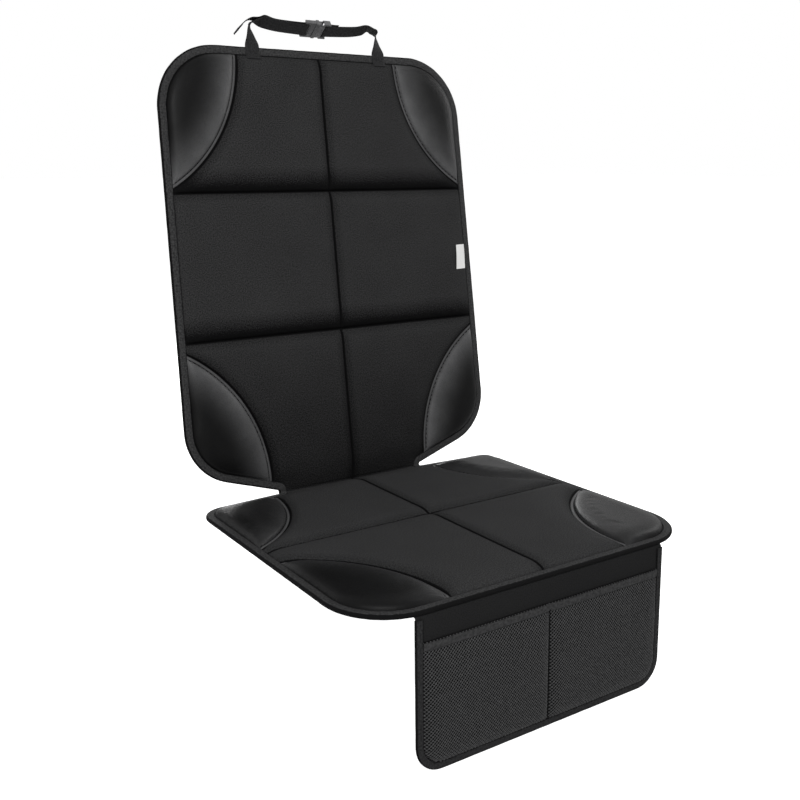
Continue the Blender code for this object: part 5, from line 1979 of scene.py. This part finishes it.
@dataclass
class HeadrestStrap:
    """The webbing over the back's top edge, in two halves that the buckle joins."""

    plan: MatPlan
    pads: PadSurface
    span: float = 0.196
    width: float = 0.020
    webbing: float = 0.0012
    tab: float = 0.016
    climb: float = 0.034
    turn: float = 0.009
    sag: float = 0.005
    tail: float = 0.029
    lean: float = math.radians(61)
    level: float = 0.0046
    bar: float = 0.0024
    bar_pitch: float = 0.038 / 2 - 0.0024 * 1.4

    @property
    def top(self) -> float:
        """How far up the plan the strap's highest runs are."""
        return self.plan.back_height + self.climb

    @property
    def facing(self) -> tuple[float, float, float]:
        """The direction of the webbing's width along its run."""
        return (0.0, math.cos(self.lean), math.sin(self.lean))

    def frame(self) -> Matrix:
        """Returns the buckle's placing: X along the strap, Y across it, Z out of its face."""
        middle = np.array([[0, self.top - self.sag, self.level]])
        origin = self.plan.fold(middle)[0]
        y = unit(self.plan.fold(middle + PROBE * np.array(self.facing))[0] - origin)
        x = np.array([1.0, 0, 0])
        z = np.cross(x, y)
        turn = Matrix([x.tolist(), y.tolist(), z.tolist()]).transposed().to_4x4()
        return Matrix.Translation(Vector(origin)) @ turn

    def off_face(self, place: Sequence[float], amount: float) -> tuple[float, float, float]:
        """Moves a station off the strap's leaning face."""
        up, out = -math.sin(self.lean) * amount, math.cos(self.lean) * amount
        return (place[0], place[1] + up, place[2] + out)

    def stations(self, side: Side) -> list[tuple[Sequence[float], Sequence[float]]]:
        """Lays the route of one half from its sewn tab to near the buckle.

        Args:
            side: which half.

        Returns:
            Places in the flat plan, each with the direction of the webbing's width.
        """
        s, turn, level = side.value, self.turn, self.level
        anchor = s * self.span / 2
        lift = self.plan.gap + self.webbing / 2
        rest = self.plan.binding_top + 0.0003 + lift
        low = self.plan.back_height - self.tab
        pad = self.pads.height(anchor, low)
        face, height = self.plan.binding_face, self.plan.back_height
        run = self.top - self.sag
        return [
            ((anchor, low, max(pad + lift, rest) + 0.0004), (-1, 0, 0)),
            ((anchor, height - face * 0.8, rest), (-1, 0, 0)),
            ((anchor, height - face * 0.3, rest), (-1, 0, 0)),
            ((anchor, height + 0.002, rest), (-1, 0, 0)),
            ((anchor, height + 0.35 * self.climb, rest), (-0.87, 0, 0.48)),
            ((anchor, self.top - turn, level), (-0.55, 0, 0.84)),
            ((anchor - s * turn * 0.35, self.top - turn * 0.3, level), (0, 0, 1)),
            ((anchor - s * turn, self.top, level), (0, 0, 1)),
            ((anchor - s * turn * 2.2, self.top - self.sag * 0.2, level), (0, 0.5, 0.87)),
            ((anchor - s * turn * 4.0, self.top - self.sag * 0.7, level), self.facing),
            ((anchor - s * turn * 6.0, run, level), self.facing),
        ]

    def half(self, side: Side) -> list[tuple[Sequence[float], Sequence[float]]]:
        """Adds the turn round the buckle's bar and the run that comes back behind the strap.

        Args:
            side: which half.

        Returns:
            The whole route of that half.
        """
        s = side.value
        route = self.stations(side)
        bar_at = s * self.bar_pitch
        level = route[-1][0]
        apart = self.bar / 2 * math.sqrt(2) + self.plan.gap + self.webbing / 2
        turn = []
        for angle in np.radians((90, 60, 30, 0, -30, -60, -90)):
            spot = (bar_at - s * apart * math.cos(angle), level[1], level[2])
            turn.append((self.off_face(spot, apart * math.sin(angle)), self.facing))
        close = (self.webbing + self.plan.gap) / 2 * 1.2
        for i in (-1, -2):
            route[i] = (self.off_face(route[i][0], close), route[i][1])
        turn.append((self.off_face((bar_at + s * 0.008, level[1], level[2]), -close), self.facing))
        if side is Side.RIGHT:
            turn.append((self.off_face((bar_at + 0.018, *route[-1][0][1:]), -2 * close), route[-1][1]))
            return route + turn
        anchor, lift, fall = -self.span / 2, 2.4 * close, self.tail * math.sqrt(0.5)
        run = self.off_face((anchor + self.turn * 4.0, self.top - self.sag * 0.7, self.level), -close)
        return route + turn + [
            (run, self.facing),
            ((anchor + self.turn * 2.2, self.top - self.sag * 0.2 + lift, self.level - close), (0, 0.5, 0.87)),
            ((anchor + self.turn, self.top + lift, self.level), (0, 0, 1)),
            ((anchor, self.top + lift - 0.001, self.level), (0, 0, 1)),
            ((anchor - fall * 0.45, self.top + lift - fall * 0.34, self.level), (0, 0.15, 1)),
            ((anchor - fall, self.top + lift - fall * 0.85, self.level), (0, 0.25, 1)),
        ]

    def smooth(self, stations: Sequence[tuple[Sequence[float], Sequence[float]]], steps: int) -> Array:
        """Runs a smooth curve through the stations.

        Args:
            stations: places with the directions of the width.
            steps: points between two stations.

        Returns:
            Rows of a place and a direction.
        """
        values = np.array([[*place, *width] for place, width in stations], float)
        values = np.vstack([2 * values[0] - values[1], values, 2 * values[-1] - values[-2]])
        found = []
        for i in range(1, len(values) - 2):
            a, b, c, d = values[i - 1 : i + 3]
            for t in np.arange(steps) / steps:
                bend = 2 * b + (c - a) * t + (2 * a - 5 * b + 4 * c - d) * t**2
                found.append((bend + (3 * b - a - 3 * c + d) * t**3) / 2)
        found.append(values[-2])
        return np.array(found)

    def ribbon(self, name: str, side: Side, node: str) -> Object:
        """Makes one half of the strap.

        Args:
            name: its name.
            side: which half.
            node: the solid that it stands for.

        Returns:
            The finished webbing.
        """
        route = self.smooth(self.half(side), 8)
        places = self.plan.fold(route[:, :3])
        widths = self.plan.fold(route[:, :3] + PROBE * route[:, 3:]) - places
        along = np.gradient(places, axis=0)
        along /= np.linalg.norm(along, axis=1, keepdims=True)
        widths -= along * (widths * along).sum(1, keepdims=True)
        widths /= np.linalg.norm(widths, axis=1, keepdims=True)
        depths = np.cross(widths, along)
        w, d = self.width / 2, self.webbing / 2
        across = np.array([-1.0, -0.97, -0.88, -0.45, 0.0, 0.45, 0.88, 0.97, 1.0])
        dome = np.array([0.0, 0.55, 0.95, 0.82, 0.88, 0.82, 0.95, 0.55, 0.0])
        upper = np.stack([across * w, dome * d], 1)
        profile = np.concatenate([upper, upper[-2:0:-1] * [1, -1]])
        grid = places[:, None] + widths[:, None] * profile[:, 0, None] + depths[:, None] * profile[:, 1, None]
        travel = travel_along(places)
        shell = Shell()
        shell.tube(grid, tape_plan(travel, travel_along(profile)))
        if side is Side.LEFT:
            self.hemmed_end(shell, places[-1], along[-1], widths[-1], depths[-1])
        made = shell.make(name, FINISHES.webbing.build())
        mend(made)
        return settle(made, "webbing", node)

    def hemmed_end(self, shell: Shell, end: Array, along: Array, width: Array, depth: Array) -> None:
        """Adds the folded hem at the tail's end.

        Args:
            shell: the webbing in the making.
            end: the tail's end.
            along: the direction that it runs in.
            width: the direction of its width.
            depth: the direction out of its face.
        """
        back, thick, wide = 0.009, self.webbing * 0.75, self.width / 2 * 0.99
        shape = [
            (-back, -0.5), (-back, 0.4), (-back * 0.95, 0.5), (0.0, 0.5),
            (0.0006, 0.3), (0.0008, 0.0), (0.0006, -0.3), (0.0, -0.5),
        ]
        rows = []
        for s in (-1, 1):
            foot = end + width * s * wide
            rows.append([foot + along * a + depth * (self.webbing * 0.5 + thick * (b + 0.5)) for a, b in shape])
        rows = np.array(rows)
        shell.tube(rows, rows[..., [0, 2]])

    def tab_thread(self) -> Object:
        """Sews the crossed box that holds each tab."""
        shell, stitcher = Shell(), Stitcher(radius=0.00034, length=0.0024, pitch=0.0030)
        for side in Side:
            anchor = side.value * self.span / 2
            low, high = self.plan.back_height - self.tab + 0.0025, self.plan.back_height - 0.0030
            w = self.width / 2 - 0.0028
            corners = np.array([[anchor - w, low], [anchor + w, low], [anchor + w, high], [anchor - w, high]])
            route = self.smooth(self.stations(side), 8)
            for first, last in ((0, 1), (1, 2), (2, 3), (3, 0), (0, 2), (1, 3)):
                line = straight(corners[first], corners[last], 0.0015)
                heights = np.interp(line[:, 1], route[:32, 1], route[:32, 2]) + self.webbing / 2
                stitcher.row(shell, *self.plan.lift(np.column_stack([line, heights])))
        return settle(shell.make("strap_thread", FINISHES.thread.build()), "webbing")

    def build(self) -> list[Object]:
        """Builds both halves of the strap and their sewing.

        Returns:
            The finished pieces.
        """
        return [
            self.ribbon("strap_left_webbing", Side.LEFT, "strap_left"),
            self.ribbon("strap_right_webbing", Side.RIGHT, "strap_right"),
            self.tab_thread(),
        ]


@dataclass
class SideTag:
    """The white tag sewn in at the right edge, left blank."""

    plan: MatPlan
    pads: PadSurface
    length: float = 0.036
    width: float = 0.019
    thickness: float = 0.0004
    height: float = 0.304
    lean: float = math.radians(4)
    standoff: float = 0.0018

    def build(self) -> Object:
        """Builds the tag, with its folded edge and a slight curl.

        Returns:
            The finished piece.
        """
        plan = self.plan
        taper = (plan.back_width_bottom - plan.back_width_top) / 2
        start = plan.back_width_bottom / 2 - taper * self.height / plan.back_height - plan.lip_end - self.standoff
        across, up = np.linspace(0, 1, 13), np.linspace(-0.5, 0.5, 17)
        spots = np.zeros((len(up), len(across), 3))
        for i, s in enumerate(up):
            for j, t in enumerate(across):
                step = s * self.length
                u = start + math.sin(self.lean) * step - self.width * t
                v = self.height + step - math.sin(self.lean) * self.width * t * 0.5
                curl = 0.0011 * t**2 * (0.6 + 0.4 * math.cos(s * 5)) + 0.00045
                spots[i, j] = (u, v, self.pads.height(u, v) + curl)
        spots[..., 2] = self.calmed(spots[..., 2])
        shell, sheets = Shell(), []
        for lift in (self.thickness, 0.0):
            flat = spots + [0, 0, lift]
            sheets.append(shell.grid(plan.fold(flat), flat[..., :2], flip=lift > 0))
        shell.skirt(*sheets)
        made = shell.make("side_tag_cloth", FINISHES.tag.build())
        mend(made)
        return settle(made, "tag_fabric", "side_tag")

    def calmed(self, heights: Array) -> Array:
        """Returns the heights with small steps smoothed out, never lower than they were."""
        padded = np.pad(heights, 1, mode="edge")
        mean = sum(padded[i : i + heights.shape[0], j : j + heights.shape[1]] for i in range(3) for j in range(3)) / 9
        return np.maximum(heights, mean)


class EditTools:
    """Short names for the modelling steps that the buckle uses."""

    @staticmethod
    def box(name: str, size: Sequence[float], centre: Sequence[float]) -> Object:
        """Adds a box of a size about a centre."""
        bpy.ops.object.select_all(action="DESELECT")
        bpy.ops.mesh.primitive_cube_add(size=1.0, location=centre)
        made = bpy.context.active_object
        made.name = name
        made.scale = size
        bpy.ops.object.transform_apply(location=True, rotation=False, scale=True)
        return made

    @staticmethod
    def select_faces(obj: Object, test: Callable[[bpy.types.MeshPolygon], bool]) -> None:
        """Selects the faces of an object that pass a test and enters edit mode.

        Args:
            obj: the object.
            test: says which faces.
        """
        bpy.context.view_layer.objects.active = obj
        bpy.ops.object.mode_set(mode="EDIT")
        bpy.ops.mesh.select_mode(type="FACE")
        bpy.ops.mesh.select_all(action="DESELECT")
        bpy.ops.object.mode_set(mode="OBJECT")
        for face in obj.data.polygons:
            face.select = bool(test(face))
        bpy.ops.object.mode_set(mode="EDIT")

    @staticmethod
    def cut(target: Object, cutters: Sequence[Object], operation: str = "DIFFERENCE") -> None:
        """Cuts bodies out of a target, or joins them to it, and removes them.

        Args:
            target: the object that stays.
            cutters: the bodies.
            operation: DIFFERENCE or UNION.
        """
        for cutter in cutters:
            activate(target)
            modifier = target.modifiers.new("cut", "BOOLEAN")
            modifier.object = cutter
            modifier.operation = operation
            modifier.solver = "EXACT"
            bpy.ops.object.modifier_apply(modifier=modifier.name)
            bpy.data.objects.remove(cutter, do_unlink=True)

    @staticmethod
    def soften(obj: Object, width: float, segments: int = 3) -> None:
        """Rounds an object's edges as a mould does.

        Args:
            obj: the object.
            width: the rounding's width.
            segments: steps in the rounding.
        """
        activate(obj)
        bevel = obj.modifiers.new("round", "BEVEL")
        bevel.width = width
        bevel.segments = segments
        bevel.limit_method = "ANGLE"
        bevel.angle_limit = math.radians(40)
        bevel.harden_normals = False
        bpy.ops.object.modifier_apply(modifier=bevel.name)
        bpy.ops.object.shade_smooth_by_angle(angle=math.radians(35))


@dataclass
class SideReleaseBuckle:
    """The plastic buckle: a housing and a pronged half with the bars for the webbing."""

    place: Matrix
    width: float = 0.026
    length: float = 0.038
    thickness: float = 0.0075
    wall: float = 0.0012
    mouth: float = -0.003
    bar: float = 0.0024
    slot: float = 0.0040
    webbing: float = 0.020

    @property
    def bar_pitch(self) -> float:
        """How far the bars are from the buckle's middle."""
        return self.length / 2 - self.bar * 1.4

    def bar_cuts(self, side: Side, height: float) -> list[Object]:
        """Makes the cutters that leave a bar with a slot on each side of it.

        Args:
            side: which end of the buckle.
            height: the half's thickness.

        Returns:
            The cutters.
        """
        at, wide = side.value * self.bar_pitch, self.webbing + 0.0016
        offset = (self.bar + self.slot) / 2
        relief = height - self.bar
        sizes = [((self.slot, wide, 0.02), x, 0.0) for x in (-offset, offset)]
        sizes += [((self.bar + 0.001, wide, relief), 0.0, z) for z in (height / 2, -height / 2)]
        return [EditTools.box("bar_cut", size, (at + x, 0, z)) for size, x, z in sizes]

    def housing(self) -> Object:
        """Models the housing: hollow, with a window on each side and ribs at its end.

        Returns:
            The finished housing.
        """
        half = self.length / 2
        length = half - self.mouth
        body = EditTools.box("buckle_housing", (length, self.width, self.thickness), (self.mouth + length / 2, 0, 0))
        EditTools.select_faces(body, lambda face: abs(face.normal.z) > 0.9)
        bpy.ops.mesh.inset(thickness=0.0022, depth=0.0)
        bpy.ops.transform.resize(value=(0.94, 0.90, 1.0))
        bpy.ops.object.mode_set(mode="OBJECT")
        EditTools.select_faces(body, lambda face: abs(face.normal.z) > 0.99 and abs(face.center.y) < 0.004)
        bpy.ops.transform.resize(value=(1.0, 1.0, 1.05))
        bpy.ops.object.mode_set(mode="OBJECT")
        hollow_length = length - self.slot - self.bar * 0.9 - self.wall
        middle = self.mouth + hollow_length / 2
        inner = (hollow_length + 0.002, self.width - 2 * self.wall, self.thickness - 2 * self.wall)
        hollow = EditTools.box("hollow", inner, (middle - 0.001, 0, 0))
        opening = (hollow_length * 0.55, self.width + 0.004, inner[2] * 0.86)
        window = EditTools.box("window", opening, (middle + 0.0007, 0, 0))
        EditTools.soften(window, 0.0014, 3)
        notches = []
        for sign in (-1, 1):
            grip = (hollow_length * 0.50, 0.0044, self.thickness + 0.002)
            notch = EditTools.box("grip", grip, (middle + 0.0007, sign * self.width / 2, 0))
            EditTools.soften(notch, 0.0018, 4)
            notches.append(notch)
        EditTools.cut(body, [hollow, window, *notches, *self.bar_cuts(Side.RIGHT, self.thickness)])
        EditTools.soften(body, 0.00035)
        self.ribs(body, self.mouth + length * 0.42, self.thickness / 2)
        return self.finished(body, "buckle_female")

    def ribs(self, body: Object, start: float, level: float) -> None:
        """Adds the low ribs across a half's faces.

        Args:
            body: the half.
            start: where the first rib is.
            level: the height of the face.
        """
        for sign in (-1, 1):
            for i in range(3):
                rib = EditTools.box("rib", (0.0009, self.width * 0.46, 0.0009), (start + i * 0.0019, 0, sign * level))
                EditTools.soften(rib, 0.00025, 2)
                EditTools.cut(body, [rib], "UNION")

    def pronged_half(self) -> Object:
        """Models the half with the two sprung prongs and the guide between them.

        Returns:
            The finished half.
        """
        half, height = self.length / 2, 0.0054
        length = half + self.mouth - 0.0003
        body = EditTools.box("buckle_prongs", (length, self.width, height), (-half + length / 2, 0, 0))
        EditTools.select_faces(body, lambda face: face.normal.x > 0.9)
        bpy.ops.mesh.inset(thickness=0.0006, depth=0.0)
        bpy.ops.mesh.extrude_region_move(TRANSFORM_OT_translate={"value": (0.0004, 0, 0)})
        bpy.ops.object.mode_set(mode="OBJECT")
        hollow_length = half - self.mouth - self.slot - self.bar * 0.9 - self.wall
        tall = self.thickness - 2 * self.wall - 0.0012
        reach = hollow_length * 0.8
        root = self.mouth - 0.0017
        pieces = [EditTools.box("guide", (reach, 0.004, tall), (root + reach / 2, 0, 0))]
        room = self.width - 2 * self.wall
        for sign in (-1, 1):
            y = sign * (room / 2 - 0.0024)
            prong = EditTools.box("prong", (reach, 0.0030, tall), (root + reach / 2, y, 0))
            EditTools.select_faces(prong, lambda face, s=sign: face.normal.y * s > 0.9)
            bpy.ops.mesh.subdivide(number_cuts=3)
            bpy.ops.object.mode_set(mode="OBJECT")
            for vertex in prong.data.vertices:
                if sign * (vertex.co.y - y) > 0.001:
                    share = (vertex.co.x - root) / reach
                    vertex.co.y += sign * 0.0008 * math.sin(math.pi * min(1.0, share * 1.1))
            pieces.append(prong)
        EditTools.cut(body, pieces, "UNION")
        EditTools.cut(body, self.bar_cuts(Side.LEFT, height))
        EditTools.soften(body, 0.0003)
        return self.finished(body, "buckle_male")

    def finished(self, body: Object, node: str) -> Object:
        """Places a half, with its place in its mesh.

        Args:
            body: the half about the buckle's middle.
            node: the solid that it stands for.

        Returns:
            The same half.
        """
        body.data.transform(self.place)
        body.data.materials.clear()
        body.data.materials.append(FINISHES.moulding.build())
        body.data.update()
        mend(body)
        return settle(body, "buckle_plastic", node)

    def build(self) -> list[Object]:
        """Builds both halves of the buckle.

        Returns:
            The finished halves.
        """
        return [self.housing(), self.pronged_half()]


@dataclass
class Studio:
    """The camera, the lamps, the floor and the white surroundings."""

    camera_place: tuple[float, float, float] = (-0.732, -0.979, 0.449)
    yaw: float = math.radians(34.48)
    pitch: float = math.radians(-13.34)
    roll: float = math.radians(0.16)
    lens: float = 45.95
    floor_level: float = -0.19
    surround: float = 0.25

    def build(self) -> None:
        """Builds the studio."""
        self.camera()
        self.surroundings()
        self.floor()
        self.lamp("key_light", (-1.5, -1.7, 1.6), (0.0, 0.15, 0.3), (0.9, 0.6), 46.0)
        self.lamp("front_light", (-0.3, -1.4, 0.95), (0.18, 0.25, 0.5), (0.3, 0.3), 3.0)
        self.lamp("side_light", (1.4, 0.0, 0.9), (-0.18, 0.25, 0.5), (0.4, 0.5), 7.0)
        self.lamp("rear_light", (0.8, 2.3, 0.8), (0.0, 0.3, 0.3), (0.8, 0.6), 24.0)

    def camera(self) -> None:
        """Sets the camera at the photograph's viewpoint."""
        data = bpy.data.cameras.new("photo_view")
        data.lens = self.lens
        data.sensor_width = 36.0
        data.clip_start = 0.01
        camera = bpy.data.objects.new("photo_view", data)
        turn = Euler((math.pi / 2 + self.pitch, 0.0, -self.yaw)).to_matrix() @ Matrix.Rotation(self.roll, 3, "Z")
        camera.matrix_world = Matrix.Translation(Vector(self.camera_place)) @ turn.to_4x4()
        bpy.context.collection.objects.link(camera)
        bpy.context.scene.camera = camera

    def lamp(
        self, name: str, place: Sequence[float], target: Sequence[float], size: tuple[float, float], power: float
    ) -> None:
        """Hangs a soft lamp.

        Args:
            name: its name.
            place: where it hangs.
            target: what it faces.
            size: its width and height.
            power: its watts.
        """
        data = bpy.data.lights.new(name, "AREA")
        data.shape = "RECTANGLE"
        data.size, data.size_y = size
        data.energy = power
        lamp = bpy.data.objects.new(name, data)
        lamp.location = place
        lamp.rotation_euler = (Vector(target) - Vector(place)).to_track_quat("-Z", "Y").to_euler()
        bpy.context.collection.objects.link(lamp)

    def surroundings(self) -> None:
        """Makes the world white to the eye and a plain soft light to the mat."""
        world = bpy.data.worlds.new("studio")
        bpy.context.scene.world = world
        world.use_nodes = True
        graph = Graph(world.node_tree)
        rays = graph.add("LightPath")
        seen = graph.math("MAXIMUM", rays.outputs["Is Camera Ray"], rays.outputs["Is Transmission Ray"])
        seen = graph.math("MAXIMUM", seen, rays.outputs["Is Glossy Ray"])
        strength = graph.remap(seen, 0, 1, self.surround, 1.0)
        background = world.node_tree.nodes["Background"]
        background.inputs["Color"].default_value = (1, 1, 1, 1)
        world.node_tree.links.new(strength, background.inputs["Strength"])

    def floor(self) -> None:
        """Lays the pale floor, which keeps the mat's shadow."""
        bpy.ops.object.select_all(action="DESELECT")
        bpy.ops.mesh.primitive_plane_add(size=1.0, location=(0, 0, 0))
        floor = bpy.context.active_object
        floor.name = "floor"
        floor.data.transform(Matrix.Translation((0, 0, self.floor_level)) @ Matrix.Scale(60.0, 4))
        made = bpy.data.materials.new("pale_floor")
        made.use_nodes = True
        graph = Graph(made.node_tree)
        shader = made.node_tree.nodes["Principled BSDF"]
        shader.inputs["Base Color"].default_value = (0.86, 0.86, 0.86, 1)
        shader.inputs["Roughness"].default_value = 0.9
        shader.inputs["Specular IOR Level"].default_value = 0.1
        rays = graph.add("LightPath")
        shader.inputs["Emission Color"].default_value = (1, 1, 1, 1)
        lift = graph.times(rays.outputs["Is Camera Ray"], 0.86)
        graph.tree.links.new(lift, shader.inputs["Emission Strength"])
        floor.data.materials.append(made)
        floor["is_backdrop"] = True


def main() -> None:
    logging.basicConfig(level=logging.INFO, format="%(name)s %(message)s")
    scene = bpy.context.scene
    scene.view_settings.view_transform = "Standard"
    for item in [o for o in bpy.data.objects if o.name in ("Cube", "Light", "Camera")]:
        bpy.data.objects.remove(item, do_unlink=True)
    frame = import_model()
    solids = [list(map(float, corner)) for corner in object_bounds()]
    plan = MatPlan()
    upper, lower = (Corner.BACK_TOP, Corner.BACK_BOTTOM), (Corner.SEAT_REAR, Corner.SEAT_FRONT)
    back = QuiltedPart("back", plan, plan.back_height, BACK_QUILTING, {c: CORNER_SEAMS[c] for c in upper})
    seat = QuiltedPart("seat", plan, -plan.seat_depth, SEAT_QUILTING, {c: CORNER_SEAMS[c] for c in lower})
    Backing(plan).build()
    back.build()
    seat.build()
    EdgeBinding(plan).build()
    Stitching(plan, (back, seat)).build()
    Flap(plan).build()
    pads = PadSurface(plan, back.tops)
    strap = HeadrestStrap(plan, pads)
    strap.build()
    SideReleaseBuckle(strap.frame()).build()
    SideTag(plan, pads).build()
    Studio(floor_level=solids[0][2] - 0.001).build()


if __name__ == "__main__":
    main()
